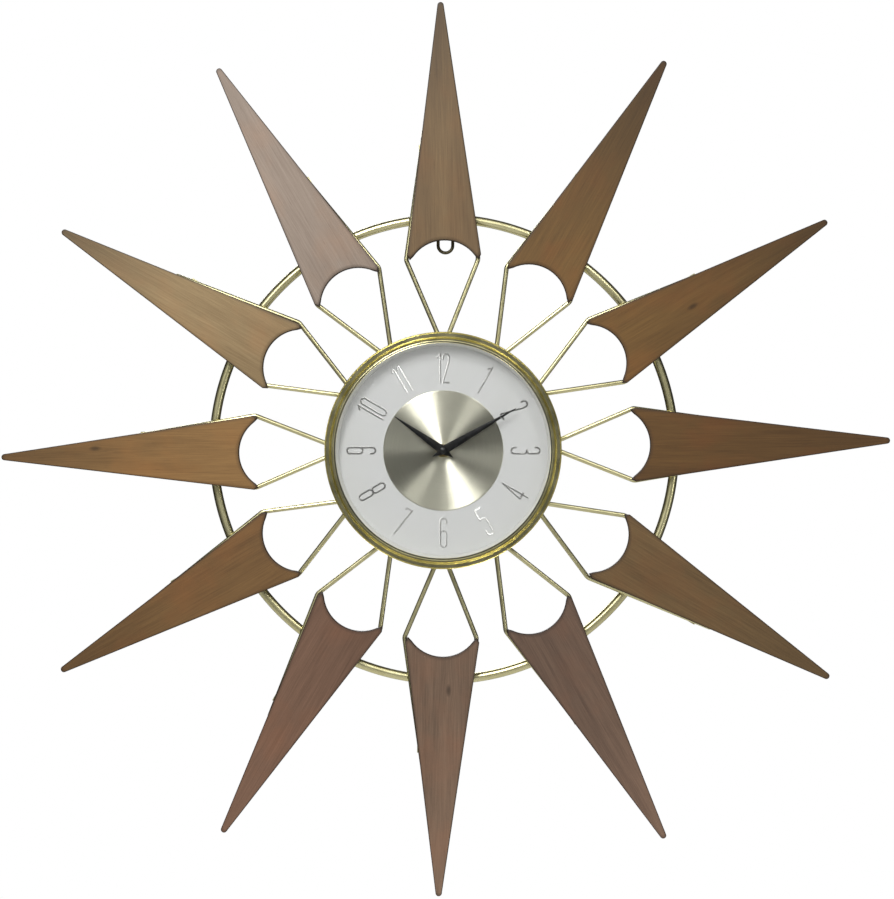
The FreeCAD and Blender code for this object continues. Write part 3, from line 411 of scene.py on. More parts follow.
def carried(path, side, section, closed=False, ends=((0.0, 0.0),), width=None, depth=None):
    """A closed section carried along a path of 3-D points.

    A point is the path's point, plus the section's first part times the constant side
    vector, plus its second part times (side x heading).  width and depth scale the two
    parts at each station.  ends lists (advance, scale) rows added beyond each end of an
    open path, outermost last; a scale of nought closes it.
    """
    path = np.asarray(path, float)
    side = np.asarray(side, float)
    count = len(path)
    if closed:
        heading = np.roll(path, -1, axis=0) - np.roll(path, 1, axis=0)
    else:
        heading = np.gradient(path, axis=0)
    heading /= np.linalg.norm(heading, axis=1)[:, None]
    width = np.ones(count) if width is None else np.asarray(width, float)
    depth = np.ones(count) if depth is None else np.asarray(depth, float)
    if not closed:
        reach = np.array([row[0] for row in ends])
        scale = np.array([row[1] for row in ends])
        path = np.concatenate([(path[0] - heading[0] * reach[:, None])[::-1], path,
                               path[-1] + heading[-1] * reach[:, None]])
        width = np.concatenate([(width[0] * scale)[::-1], width, width[-1] * scale])
        depth = np.concatenate([(depth[0] * scale)[::-1], depth, depth[-1] * scale])
        heading = np.concatenate([np.repeat(heading[:1], len(ends), axis=0), heading,
                                  np.repeat(heading[-1:], len(ends), axis=0)])
    up = np.cross(side, heading)
    section = np.asarray(section, float)
    across = section[None, :, 0] * width[:, None]
    over = section[None, :, 1] * depth[:, None]
    points = path[:, None, :] + across[..., None] * side + over[..., None] * up[:, None, :]
    rows, columns = across.shape
    run = np.concatenate([[0], np.cumsum(np.linalg.norm(np.diff(path, axis=0), axis=1))])
    faces = quads(rows, columns, wrap_rows=closed, wrap_columns=True)
    lines = rows if closed else rows - 1
    row = np.repeat(np.arange(lines), columns)
    column = np.tile(np.arange(columns), lines)
    run = np.append(run, run[-1] + np.linalg.norm(path[0] - path[-1]))
    u = np.stack([run[row], run[row], run[row + 1], run[row + 1]], axis=1)
    v = np.stack([column, column + 1, column + 1, column], axis=1) / columns
    return points.reshape(-1, 3), faces, np.stack([u, v], axis=-1)


def round_section(radius, steps=20):
    """Circle as (side, over) pairs."""
    angle = np.arange(steps) * 2 * math.pi / steps
    return np.stack([np.cos(angle), np.sin(angle)], axis=1) * radius


def flat_section(width, height, corner, steps=3):
    """Rectangle with rounded corners as (side, over) pairs, centred on the path."""
    a, b = width / 2 - corner, height / 2 - corner
    swing = np.linspace(0, math.pi / 2, steps + 1)
    out = []
    for quarter, (sa, sb) in enumerate(((1, 1), (-1, 1), (-1, -1), (1, -1))):
        turn = swing + quarter * math.pi / 2
        out.append(np.stack([sa * a + corner * np.cos(turn), sb * b + corner * np.sin(turn)], axis=1))
    return np.concatenate(out)


def dome_ends(radius, steps=5):
    """End rows that round off a rod."""
    angle = np.linspace(0, math.pi / 2, steps + 1)[1:]
    return [(radius * math.sin(a), max(0.0, math.cos(a))) for a in angle]


# ------------------------------------------------------------------ material helpers


def linear(colour):
    """Linear colour of an eight-bit screen colour."""
    share = np.asarray(colour, float) / 255
    low = share / 12.92
    high = ((share + 0.055) / 1.055) ** 2.4
    return tuple(float(v) for v in np.where(share <= 0.04045, low, high))


class Nodes:
    """Short way to lay out a node tree."""

    def __init__(self, tree):
        self.tree = tree

    def add(self, kind, **settings):
        node = self.tree.nodes.new("ShaderNode" + kind)
        for name, value in settings.items():
            if name.startswith("in_"):
                node.inputs[name[3:].replace("_", " ")].default_value = value
            else:
                setattr(node, name, value)
        return node

    def link(self, source, target):
        self.tree.links.new(source, target)

    def maths(self, operation, a, b=None, clamp=False):
        node = self.add("Math", operation=operation, use_clamp=clamp)
        for place, value in enumerate((a, b)):
            if value is None:
                continue
            if isinstance(value, (int, float)):
                node.inputs[place].default_value = value
            else:
                self.link(value, node.inputs[place])
        return node.outputs[0]

    def mix(self, factor, a, b, blend="MIX"):
        node = self.add("Mix", data_type="RGBA", blend_type=blend)
        for socket, value in ((node.inputs[0], factor), (node.inputs[6], a), (node.inputs[7], b)):
            if isinstance(value, (int, float)):
                socket.default_value = value
            elif isinstance(value, (tuple, list)):
                socket.default_value = (*value[:3], 1.0)
            else:
                self.link(value, socket)
        return node.outputs[2]

    def ramp(self, value, stops):
        """Colour ramp; a stop is (place, grey or colour)."""
        node = self.add("ValToRGB")
        elements = node.color_ramp.elements
        while len(elements) < len(stops):
            elements.new(0.5)
        for element, (place, colour) in zip(elements, stops):
            element.position = place
            if isinstance(colour, (int, float)):
                colour = (colour,) * 3
            element.color = (*colour[:3], 1.0)
        self.link(value, node.inputs[0])
        return node.outputs[0]

    def scaled(self, vector, scale):
        node = self.add("VectorMath", operation="MULTIPLY")
        self.link(vector, node.inputs[0])
        node.inputs[1].default_value = scale
        return node.outputs[0]

    def noise(self, vector, scale, detail=4.0, roughness=0.5, distortion=0.0):
        node = self.add("TexNoise", in_Scale=scale, in_Detail=detail, in_Roughness=roughness,
                        in_Distortion=distortion)
        self.link(vector, node.inputs["Vector"])
        return node.outputs[0]

    def group(self, tree, **values):
        node = self.add("Group")
        node.node_tree = tree
        for name, value in values.items():
            socket = node.inputs[name.replace("_", " ")]
            if hasattr(value, "is_linked"):
                self.link(value, socket)
            elif isinstance(value, (tuple, list)) and len(socket.default_value) == 4:
                socket.default_value = (*value[:3], 1.0)
            else:
                socket.default_value = value
        return node


def new_group(name, inputs, outputs):
    """Empty shader node group with its sockets; returns the tree, its helper and both ends."""
    tree = bpy.data.node_groups.new(name, "ShaderNodeTree")
    kinds = {"v": "NodeSocketVector", "c": "NodeSocketColor", "f": "NodeSocketFloat"}
    for label, kind, value in inputs:
        socket = tree.interface.new_socket(name=label, in_out="INPUT", socket_type=kinds[kind])
        if value is not None:
            socket.default_value = value
    for label, kind in outputs:
        tree.interface.new_socket(name=label, in_out="OUTPUT", socket_type=kinds[kind])
    nodes = Nodes(tree)
    return tree, nodes, tree.nodes.new("NodeGroupInput"), tree.nodes.new("NodeGroupOutput")


def grain_group():
    """Wood veneer.  Streaks are noise stretched along the length; bands are slower noise
    that swings the tone from dark to light; pores are short dark dashes; the rim mask
    darkens the edges with a dark stain and with painted shade, most on the blade's sides."""
    tree, nodes, source, target = new_group(
        "Wood grain",
        [("Place", "v", None), ("Rim", "f", 0.0), ("Light", "c", (0.3, 0.2, 0.1, 1)),
         ("Dark", "c", (0.1, 0.07, 0.04, 1)), ("Warm", "c", (0.2, 0.1, 0.05, 1)),
         ("Edge", "c", (0.02, 0.012, 0.008, 1)), ("Contrast", "f", 0.6)],
        [("Colour", "c"), ("Roughness", "f"), ("Height", "f")])
    place = source.outputs["Place"]
    wobble = nodes.noise(nodes.scaled(place, (18.0, 5.0, 1.0)), 1.0, 3.0)
    shift = nodes.add("VectorMath", operation="MULTIPLY_ADD")
    nodes.link(wobble, shift.inputs[0])
    shift.inputs[1].default_value = (0.006, 0.0, 0.0)
    nodes.link(place, shift.inputs[2])
    bent = shift.outputs[0]
    streak = nodes.noise(nodes.scaled(bent, (900.0, 22.0, 1.0)), 1.0, 5.0, 0.62)
    fine = nodes.noise(nodes.scaled(bent, (2600.0, 60.0, 1.0)), 1.0, 3.0, 0.6)
    band = nodes.noise(nodes.scaled(bent, (75.0, 5.0, 1.0)), 1.0, 3.0, 0.5, 0.3)
    cloud = nodes.noise(nodes.scaled(place, (24.0, 16.0, 1.0)), 1.0, 3.0, 0.6)
    pores = nodes.noise(nodes.scaled(bent, (1500.0, 90.0, 1.0)), 1.0, 2.0, 0.5)
    pore_mask = nodes.ramp(pores, [(0.66, 0.0), (0.76, 1.0)])
    tone = nodes.maths("ADD", nodes.maths("MULTIPLY", streak, 0.48), nodes.maths("MULTIPLY", band, 0.34))
    tone = nodes.maths("ADD", tone, nodes.maths("MULTIPLY", fine, 0.18))
    tone = nodes.maths("SUBTRACT", tone, 0.5)
    tone = nodes.maths("MULTIPLY", tone, nodes.maths("MULTIPLY", source.outputs["Contrast"], 5.0))
    tone = nodes.maths("ADD", tone, 0.5, clamp=True)
    wood = nodes.mix(tone, source.outputs["Dark"], source.outputs["Light"])
    warmth = nodes.ramp(cloud, [(0.48, 0.0), (0.72, 1.0)])
    wood = nodes.mix(nodes.maths("MULTIPLY", warmth, 0.45), wood, source.outputs["Warm"])
    wood = nodes.mix(nodes.maths("MULTIPLY", pore_mask, 0.28), wood, source.outputs["Edge"])
    # Edge stain and painted shade: the rim mask mixes in the edge colour, most on the sides.
    rim = nodes.maths("MULTIPLY", source.outputs["Rim"],
                      nodes.maths("ADD", nodes.maths("MULTIPLY", streak, 0.5), 0.7), clamp=True)
    wood = nodes.mix(rim, wood, source.outputs["Edge"])
    nodes.link(wood, target.inputs["Colour"])
    rough = nodes.maths("ADD", nodes.maths("MULTIPLY", streak, 0.22), 0.36)
    nodes.link(nodes.maths("ADD", rough, nodes.maths("MULTIPLY", pore_mask, 0.15)), target.inputs["Roughness"])
    height = nodes.maths("SUBTRACT", nodes.maths("MULTIPLY", streak, 0.7), nodes.maths("MULTIPLY", pore_mask, 0.5))
    nodes.link(height, target.inputs["Height"])
    return tree


def mottle_group():
    """Slow and fast noise added together, as a mask and as a height, for metal and plastic."""
    tree, nodes, source, target = new_group(
        "Surface mottle", [("Place", "v", None), ("Slow", "f", 40.0), ("Fast", "f", 900.0)],
        [("Mask", "f"), ("Height", "f")])

    def noise_at(scale_socket, detail):
        node = nodes.add("TexNoise", in_Detail=detail, in_Roughness=0.55)
        nodes.link(source.outputs["Place"], node.inputs["Vector"])
        nodes.link(scale_socket, node.inputs["Scale"])
        return node.outputs[0]

    slow = noise_at(source.outputs["Slow"], 3.0)
    fast = noise_at(source.outputs["Fast"], 4.0)
    both = nodes.maths("ADD", nodes.maths("MULTIPLY", slow, 0.65), nodes.maths("MULTIPLY", fast, 0.35))
    nodes.link(nodes.ramp(both, [(0.38, 0.0), (0.62, 1.0)]), target.inputs["Mask"])
    nodes.link(fast, target.inputs["Height"])
    return tree


def lathe_lines_group():
    """Fine turning marks.  The UV's first part runs across the marks, so noise that is
    stretched a thousandfold along the second makes rings that fade in and out."""
    tree, nodes, source, target = new_group(
        "Turning marks", [("Place", "v", None), ("Pitch", "f", 3000.0)], [("Mask", "f"), ("Height", "f")])
    stretch = nodes.add("CombineXYZ")
    nodes.link(source.outputs["Pitch"], stretch.inputs[0])
    stretch.inputs[1].default_value = 7.0
    stretch.inputs[2].default_value = 1.0
    spot = nodes.add("VectorMath", operation="MULTIPLY")
    nodes.link(source.outputs["Place"], spot.inputs[0])
    nodes.link(stretch.outputs[0], spot.inputs[1])
    rings = nodes.noise(spot.outputs[0], 1.0, 4.0, 0.7)
    nodes.link(nodes.ramp(rings, [(0.3, 0.0), (0.7, 1.0)]), target.inputs["Mask"])
    nodes.link(rings, target.inputs["Height"])
    return tree


GROUPS = {}


def group(name):
    """The shared node groups, each built once."""
    makers = {"grain": grain_group, "mottle": mottle_group, "lines": lathe_lines_group}
    if name not in GROUPS:
        GROUPS[name] = makers[name]()
    return GROUPS[name]


def new_material(name, **sockets):
    """Material with a Principled shader whose plain values are set on its own sockets."""
    material = bpy.data.materials.new(name)
    material.use_nodes = True
    nodes = Nodes(material.node_tree)
    shader = material.node_tree.nodes["Principled BSDF"]
    for label, value in sockets.items():
        socket = shader.inputs[label.replace("_", " ")]
        if isinstance(value, (tuple, list)) and len(value) == 3 and socket.type == "RGBA":
            value = (*value, 1.0)
        socket.default_value = value
    return material, nodes, shader


def bump(nodes, shader, height, strength, distance):
    node = nodes.add("Bump", in_Strength=strength, in_Distance=distance)
    nodes.link(height, node.inputs["Height"])
    nodes.link(node.outputs[0], shader.inputs["Normal"])


def mottled(name, light, dark, rough_low, rough_high, slow=40.0, fast=900.0, relief=0.02e-3, strength=0.4,
            **sockets):
    """Paint, plastic or metal whose colour and roughness drift between two values."""
    material, nodes, shader = new_material(name, **sockets)
    place = nodes.add("TexCoord").outputs["Object"]
    mottle = nodes.group(group("mottle"), Place=place, Slow=slow, Fast=fast)
    mask = mottle.outputs["Mask"]
    nodes.link(nodes.mix(mask, dark, light), shader.inputs["Base Color"])
    rough = nodes.maths("ADD", nodes.maths("MULTIPLY", mask, rough_high - rough_low), rough_low)
    nodes.link(rough, shader.inputs["Roughness"])
    bump(nodes, shader, mottle.outputs["Height"], strength, relief)
    return material


def turned_metal(name, colour, shade, rough_low, rough_high, pitch, anisotropic, relief=0.004e-3, strength=0.3):
    """Metal with turning marks that follow the piece's own UV."""
    material, nodes, shader = new_material(name, Metallic=1.0, Anisotropic=anisotropic)
    uv = nodes.add("UVMap", uv_map="UVMap").outputs[0]
    marks = nodes.group(group("lines"), Place=uv, Pitch=pitch)
    mask = marks.outputs["Mask"]
    nodes.link(nodes.mix(mask, shade, colour), shader.inputs["Base Color"])
    rough = nodes.maths("ADD", nodes.maths("MULTIPLY", mask, rough_low - rough_high), rough_high)
    nodes.link(rough, shader.inputs["Roughness"])
    tangent = nodes.add("Tangent", direction_type="UV_MAP", uv_map="UVMap")
    nodes.link(tangent.outputs[0], shader.inputs["Tangent"])
    bump(nodes, shader, marks.outputs["Height"], strength, relief)
    return material


# Tones of the twelve rays, from one o'clock on, as (light, dark, warm) screen colours: the wood's own tone with a
# painted sheen that makes the upper-left rays lighter and greyer than the right-hand ones.
RAY_TONES_AND_SHEEN = {
    1: ((115, 85, 42), (80, 57, 27), (117, 70, 30)),
    2: ((116, 85, 40), (82, 57, 26), (121, 75, 32)),
    3: ((110, 78, 37), (76, 52, 24), (114, 66, 28)),
    4: ((126, 99, 62), (88, 67, 41), (124, 83, 47)),
    5: ((130, 104, 85), (90, 70, 58), (130, 91, 69)),
    6: ((147, 119, 97), (101, 81, 65), (149, 106, 80)),
    7: ((140, 106, 85), (100, 74, 57), (142, 97, 70)),
    8: ((136, 102, 58), (96, 68, 38), (140, 90, 47)),
    9: ((157, 119, 69), (115, 84, 46), (159, 109, 56)),
    10: ((173, 147, 106), (130, 106, 70), (173, 129, 85)),
    11: ((175, 158, 143), (134, 116, 101), (173, 140, 115)),
    12: ((135, 110, 75), (96, 74, 49), (132, 96, 60)),
}
# How much lighter or darker a ray is at its base and at its tip than in its middle.
RAY_FADES = {
    1: (1.35, 0.56), 2: (1.30, 0.59), 3: (1.14, 0.97), 4: (1.06, 0.86), 5: (0.98, 1.40), 6: (0.93, 1.20),
    7: (0.93, 1.17), 8: (1.05, 0.71), 9: (1.08, 0.60), 10: (0.93, 0.54), 11: (0.92, 0.88), 12: (1.03, 0.64),
}
RAY_KNOTS = {2: (0.004, 0.245), 6: (-0.006, 0.205), 9: (0.006, 0.300)}
# Colour of the dark stain on a ray's edges, which also serves as painted shade on its sides.
EDGE_STAIN_AND_SHADE = (0.020, 0.012, 0.008)


def knot(nodes, uv, place, spot):
    """Bends the grain's place round an oval spot; returns the bent place and the spot's mask."""
    away = nodes.add("VectorMath", operation="SUBTRACT")
    nodes.link(uv, away.inputs[0])
    away.inputs[1].default_value = (*spot, 0.0)
    oval = nodes.scaled(away.outputs[0], (1.0, 0.42, 1.0))
    length = nodes.add("VectorMath", operation="LENGTH")
    nodes.link(oval, length.inputs[0])
    centimetres = nodes.maths("MULTIPLY", length.outputs["Value"], 100.0)
    near = nodes.ramp(centimetres, [(0.0, 1.0), (0.75, 0.0)])
    pull = nodes.add("VectorMath", operation="MULTIPLY")
    nodes.link(away.outputs[0], pull.inputs[0])
    nodes.link(near, pull.inputs[1])
    bent = nodes.add("VectorMath", operation="MULTIPLY_ADD")
    nodes.link(pull.outputs[0], bent.inputs[0])
    bent.inputs[1].default_value = (-0.75, 0.0, 0.0)
    nodes.link(place, bent.inputs[2])
    return bent.outputs[0], nodes.ramp(centimetres, [(0.0, 1.0), (0.10, 0.85), (0.26, 0.0)])


def wood_material(hour):
    """Veneer of one ray, with its own tone and a painted sheen, and a knot on the rays that have one."""
    # The tones carry the wood's own colour and a painted sheen from the upper-left light.
    light, dark, warm = (linear(tone) for tone in RAY_TONES_AND_SHEEN[hour])
    material, nodes, shader = new_material("ray_wood_%02d" % hour, Specular_IOR_Level=0.4)
    uv = nodes.add("UVMap", uv_map="UVMap").outputs[0]
    offset = nodes.add("VectorMath", operation="ADD")
    nodes.link(uv, offset.inputs[0])
    offset.inputs[1].default_value = (0.37 * hour, 0.91 * hour, 0.0)
    rim = nodes.add("Attribute", attribute_name="rim").outputs["Fac"]
    place = offset.outputs[0]
    knot_mask = None
    if hour in RAY_KNOTS:
        place, knot_mask = knot(nodes, uv, place, RAY_KNOTS[hour])
    grain = nodes.group(group("grain"), Place=place, Rim=rim, Light=light, Dark=dark, Warm=warm,
                        Edge=EDGE_STAIN_AND_SHADE, Contrast=0.55)
    colour = grain.outputs["Colour"]
    if knot_mask is not None:
        colour = nodes.mix(nodes.maths("MULTIPLY", knot_mask, 0.7), colour, tuple(0.35 * d for d in dark))
    split = nodes.add("SeparateXYZ")
    nodes.link(uv, split.inputs[0])
    base, tip = RAY_FADES[hour]
    share = nodes.maths("DIVIDE", split.outputs[1], 0.4)
    fade = nodes.ramp(share, [(0.45, base * 0.5), (0.68, 0.5), (0.80, 0.25 + tip * 0.25), (0.94, tip * 0.5)])
    twice = nodes.maths("MULTIPLY", fade, 2.0)
    colour = nodes.mix(1.0, colour, twice, "MULTIPLY")
    nodes.link(colour, shader.inputs["Base Color"])
    nodes.link(grain.outputs["Roughness"], shader.inputs["Roughness"])
    bump(nodes, shader, grain.outputs["Height"], 0.35, 0.06e-3)
    return material


def gold_material(name, colour, shade, rough_low, rough_high):
    """Satin gold finish: soft cloudy tarnish, fine orange peel."""
    return mottled(name, colour, shade, rough_low, rough_high, slow=70.0, fast=1500.0, relief=0.01e-3,
                   strength=0.08, Metallic=1.0)


def glass_material(name):
    """Clear glass that lets lamps through unbent."""
    material, nodes, shader = new_material(name, Base_Color=(1.0, 1.0, 1.0), Roughness=0.0, IOR=1.45,
                                           Transmission_Weight=1.0)
    place = nodes.add("TexCoord").outputs["Object"]
    smear = nodes.noise(place, 35.0, 4.0, 0.6)
    nodes.link(nodes.ramp(smear, [(0.6, 0.0), (0.95, 0.015)]), shader.inputs["Roughness"])
    clear = nodes.add("BsdfTransparent")
    path = nodes.add("LightPath")
    blend = nodes.add("MixShader")
    through = nodes.maths("MAXIMUM", path.outputs["Is Shadow Ray"], path.outputs["Is Diffuse Ray"])
    nodes.link(through, blend.inputs[0])
    nodes.link(shader.outputs[0], blend.inputs[1])
    nodes.link(clear.outputs[0], blend.inputs[2])
    nodes.link(blend.outputs[0], material.node_tree.nodes["Material Output"].inputs["Surface"])
    return material


def dial_material(name, colour):
    """Matte card with a faint paper tooth."""
    warm = tuple(c * f for c, f in zip(colour, (0.985, 0.985, 0.975)))
    return mottled(name, colour, warm, 0.55, 0.68, slow=25.0, fast=2200.0, relief=0.008e-3, strength=0.3)


def dress(node, material):
    """Gives a carried-over CAD node a material in every slot."""
    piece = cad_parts[node]
    if not piece.material_slots:
        piece.data.materials.append(material)
    for place in piece.material_slots:
        place.material = material


# ------------------------------------------------------------------------ wood rays


def blade_sheet(sizes, inset, columns=25, rows=73):
    """Grid over one face of a blade, drawn at twelve o'clock about the frame's centre.

    Each line across joins a point of the base edge to a point of the tip's arc, so the
    outer lines are the straight sides.  The base edge is the hollow's arc with a short
    curve up to each shoulder.  inset moves every edge inwards.
    """
    slope = sizes.blade_slope
    lean = math.atan(slope)
    share = np.linspace(-1, 1, columns)
    cut = 0.9
    half = sizes.blade_corner_half
    sag = sizes.blade_hollow - sizes.blade_corner
    radius = (half ** 2 + sag ** 2) / (2 * sag)
    centre = sizes.blade_hollow - radius
    inner_half = half - 1.1 * inset
    inner_radius = radius + inset
    arc_x = inner_half * np.clip(share / cut, -1, 1)
    arc_z = centre + np.sqrt(inner_radius ** 2 - arc_x ** 2)
    corner_z = centre + math.sqrt(inner_radius ** 2 - inner_half ** 2)
    shoulder_x = slope * (sizes.blade_apex - sizes.blade_shoulder) - inset / math.cos(lean)
    shoulder_z = sizes.blade_shoulder
    past = np.clip((np.abs(share) - cut) / (1 - cut), 0, 1)
    pull_x, pull_z = shoulder_x + 0.05 * MM, corner_z + 0.9 * MM
    curve_x = (1 - past) ** 2 * inner_half + 2 * past * (1 - past) * pull_x + past ** 2 * shoulder_x
    curve_z = (1 - past) ** 2 * corner_z + 2 * past * (1 - past) * pull_z + past ** 2 * shoulder_z
    base_x = np.where(past > 0, np.sign(share) * curve_x, arc_x)
    base_z = np.where(past > 0, curve_z, arc_z)
    tip_radius = sizes.blade_tip_round - inset
    tip_centre = sizes.blade_tip - sizes.blade_tip_round
    swing = share * (math.pi / 2 - lean)
    tip_x = tip_radius * np.sin(swing)
    tip_z = tip_centre + tip_radius * np.cos(swing)
    along = np.linspace(0, 1, rows)[:, None]
    x = base_x + (tip_x - base_x) * along
    z = base_z + (tip_z - base_z) * along
    return x, z


def edge_loop(grid):
    """The points round the rim of a grid, once round."""
    return np.concatenate([grid[0, :-1], grid[:-1, -1], grid[-1, :0:-1], grid[:0:-1, 0]])


def blade_surface(sizes, hour):
    """Closed blade: front face, eased rim, back face.

    The rim's rows are the face's outline at growing and then shrinking rise, its inset
    following a quarter circle at each eased edge.
    """
    ease = sizes.blade_ease
    quarter = np.linspace(0, math.pi / 2, 5)
    rows = [(ease * (1 - math.sin(q)), BLADE_FRONT - ease * (1 - math.cos(q))) for q in quarter]
    rows += [(ease * (1 - math.cos(q)), BLADE_BACK + ease * (1 - math.sin(q))) for q in quarter]
    x, z = blade_sheet(sizes, rows[0][0])
    count, across = x.shape
    parts, masks = [], []

    def add(px, pz, rise, faces, mask):
        uv_of = np.stack([px, pz], axis=-1).reshape(-1, 2)
        parts.append((np.stack([px, pz, rise + 0 * px], axis=-1).reshape(-1, 3), faces, uv_of[faces]))
        masks.append(np.broadcast_to(mask, px.shape).ravel())

    # Rim mask: a dark stain round the face's outline, and painted shade on the sides.
    rim_mask = np.zeros_like(x)
    rim_mask[0, :] = rim_mask[-1, :] = rim_mask[:, 0] = rim_mask[:, -1] = 0.45
    add(x, z, BLADE_FRONT, quads(count, across), rim_mask)
    loops_x, loops_z, loops_rise = [], [], []
    for inset, rise in rows:
        sheet_x, sheet_z = blade_sheet(sizes, inset)
        loops_x.append(edge_loop(sheet_x))
        loops_z.append(edge_loop(sheet_z))
        loops_rise.append(np.full(len(loops_x[-1]), rise))
    loop_x, loop_z, loop_rise = np.array(loops_x), np.array(loops_z), np.array(loops_rise)
    # The sides take the most of the stain and painted shade.
    side_mask = np.ones_like(loop_x) * 0.9
    side_mask[0] = 0.45
    faces = quads(len(rows), loop_x.shape[1], wrap_columns=True)
    uv_of = np.stack([loop_x + (BLADE_FRONT - loop_rise), loop_z], axis=-1).reshape(-1, 2)
    parts.append((np.stack([loop_x, loop_z, loop_rise], axis=-1).reshape(-1, 3), faces, uv_of[faces]))
    masks.append(side_mask.ravel())
    x, z = blade_sheet(sizes, rows[-1][0])
    add(x, z, BLADE_BACK, quads(count, across)[:, ::-1], 0.15)
    local, faces, uvs = joined(parts)
    slide, tip = blade_shift(hour)
    x, z = placed(local[:, 0] + slide, local[:, 1] + tip - local[:, 1].max(), *ray_seat(hour))
    return (wall_point(x, z, local[:, 2]), faces, uvs), np.concatenate(masks)


class CLOCK_OT_blades(bpy.types.Operator):
    """Make the twelve wooden blades"""

    bl_idname = "clock.blades"
    bl_label = "Wooden blades"

    def execute(self, context):
        sizes = context.scene.clock_sizes
        for hour in RAYS:
            surface, mask = blade_surface(sizes, hour)
            piece = new_piece("wood_blade_%02d" % hour, surface, wood_material(hour),
                              replaces=["blade_%02d" % hour], mask=mask)
            sharpen(piece, 50.0)
        return {"FINISHED"}


# ----------------------------------------------------------------- wires, ring, loop


def wire_route(sizes):
    """Centre line of a ray's wire at twelve o'clock: end, bend, apex, bend, end."""
    end = sizes.blade_slope * (sizes.blade_apex - sizes.wire_end) - sizes.wire_end_inset
    bend = sizes.blade_slope * (sizes.blade_apex - sizes.wire_bend) - sizes.wire_inset + 0.3 * MM
    points = [(-end, sizes.wire_end), (-bend, sizes.wire_bend), (0, sizes.wire_apex),
              (bend, sizes.wire_bend), (end, sizes.wire_end)]
    return route(points, (7 * MM, 5 * MM, 7 * MM), steps=12)


def ray_wire_surface(sizes, hour):
    """Round rod carried along the bent centre line, with slightly domed ends."""
    radius = (WIRE_FRONT - WIRE_BACK) / 2
    path = spread(wire_route(sizes), 6 * MM)
    x, z = placed(path[:, 0], path[:, 1], *ray_seat(hour))
    return carried(wall_point(x, z, (WIRE_FRONT + WIRE_BACK) / 2), (0, 1, 0), round_section(radius, 24),
                   ends=dome_ends(radius * 0.999))


def bead_surface(at, heading, length, width, height):
    """One weld bead: an ellipsoid whose radius ripples along its length."""
    rows, columns = 9, 10
    lift = np.linspace(0, math.pi, rows)[:, None]
    turn = (np.arange(columns) * 2 * math.pi / columns)[None, :]
    ripple = 1 + 0.10 * np.cos(lift * 9)
    along = -np.cos(lift) * length / 2 + 0 * turn
    across = np.sin(lift) * np.cos(turn) * width / 2 * ripple
    over = np.sin(lift) * np.sin(turn) * height / 2 * ripple
    heading = np.asarray(heading, float) / np.linalg.norm(heading)
    side = np.cross(heading, (0, 1, 0))
    points = np.asarray(at) + along[..., None] * heading + across[..., None] * side \
        + over[..., None] * np.array([0, 1, 0])
    faces = quads(rows, columns, wrap_columns=True)
    uv_of = np.stack(np.broadcast_arrays(lift, turn), axis=-1).reshape(-1, 2)
    return points.reshape(-1, 3), faces, uv_of[faces]


PAN_WELD = 92.5 * MM                  # radius of the welds that hold a wire to the pan
STRAP_WELDS = (220.5 * MM, 263.5 * MM)


def weld_beads(sizes):
    """Beads where each wire crosses the ring, lies on the pan and carries its two straps."""
    parts = []
    path = spread(wire_route(sizes), 0.5 * MM)
    reach = np.hypot(path[:, 0], path[:, 1])
    back_rise = WIRE_BACK + 0.2 * MM
    spots = [(RING_RADIUS, 7.0, 5.0, 1.6, back_rise), (PAN_WELD, 8.0, 5.0, 1.8, WIRE_FRONT - 0.4 * MM)]
    spots += [(radius, 4.0, 3.6, 1.4, back_rise) for radius in STRAP_WELDS]
    for hour in RAYS:
        seat, angle = ray_seat(hour)
        for side in (-1, 1):
            for radius, length, width, height, rise in spots:
                half = path[:, 0] * side > 0
                place = path[half][np.argmin(np.abs(reach[half] - radius))]
                x, z = placed(place[0], place[1], seat, angle)
                heading = (math.sin(angle), 0, math.cos(angle))
                parts.append(bead_surface((x, -rise, z), heading, length * MM, width * MM, height * MM))
    low, high = corners("hanging_loop")
    for leg in (low[0] + LOOP_WIRE, high[0] - LOOP_WIRE):
        at = (leg, -RING_TUBE, RING_AT[1] + RING_RADIUS - RING_TUBE - 0.2 * MM)
        parts.append(bead_surface(at, (1, 0, 0), 5.0 * MM, 1.6 * MM, 4.4 * MM))
    return joined(parts)


class CLOCK_OT_wires(bpy.types.Operator):
    """Make the twelve ray wires, the outer ring, the hanging loop and the welds"""

    bl_idname = "clock.wires"
    bl_label = "Gold wires and ring"

    def execute(self, context):
        sizes = context.scene.clock_sizes
        colours = context.scene.clock_colours
        gold = gold_material("gold_wire", tuple(colours.gold), tuple(colours.gold_shade), 0.28, 0.34)
        for hour in RAYS:
            new_piece("gold_wire_%02d" % hour, ray_wire_surface(sizes, hour), gold,
                      replaces=["ray_wire_%02d" % hour])
        angle = np.arange(240) * 2 * math.pi / 240
        ring_path = wall_point(RING_AT[0] + RING_RADIUS * np.sin(angle),
                               RING_AT[1] + RING_RADIUS * np.cos(angle), RING_TUBE)
        new_piece("gold_ring", carried(ring_path, (0, 1, 0), round_section(RING_TUBE, 32), closed=True), gold,
                  replaces=["outer_ring"])
        # Hanging loop: gold wire whose dark colour is painted shade.
        new_piece("hanging_loop_wire", hanging_loop_surface(), shaded_loop_wire_material(),
                  replaces=["hanging_loop"])
        new_piece("weld_beads", weld_beads(sizes), weld_material(colours))
        return {"FINISHED"}


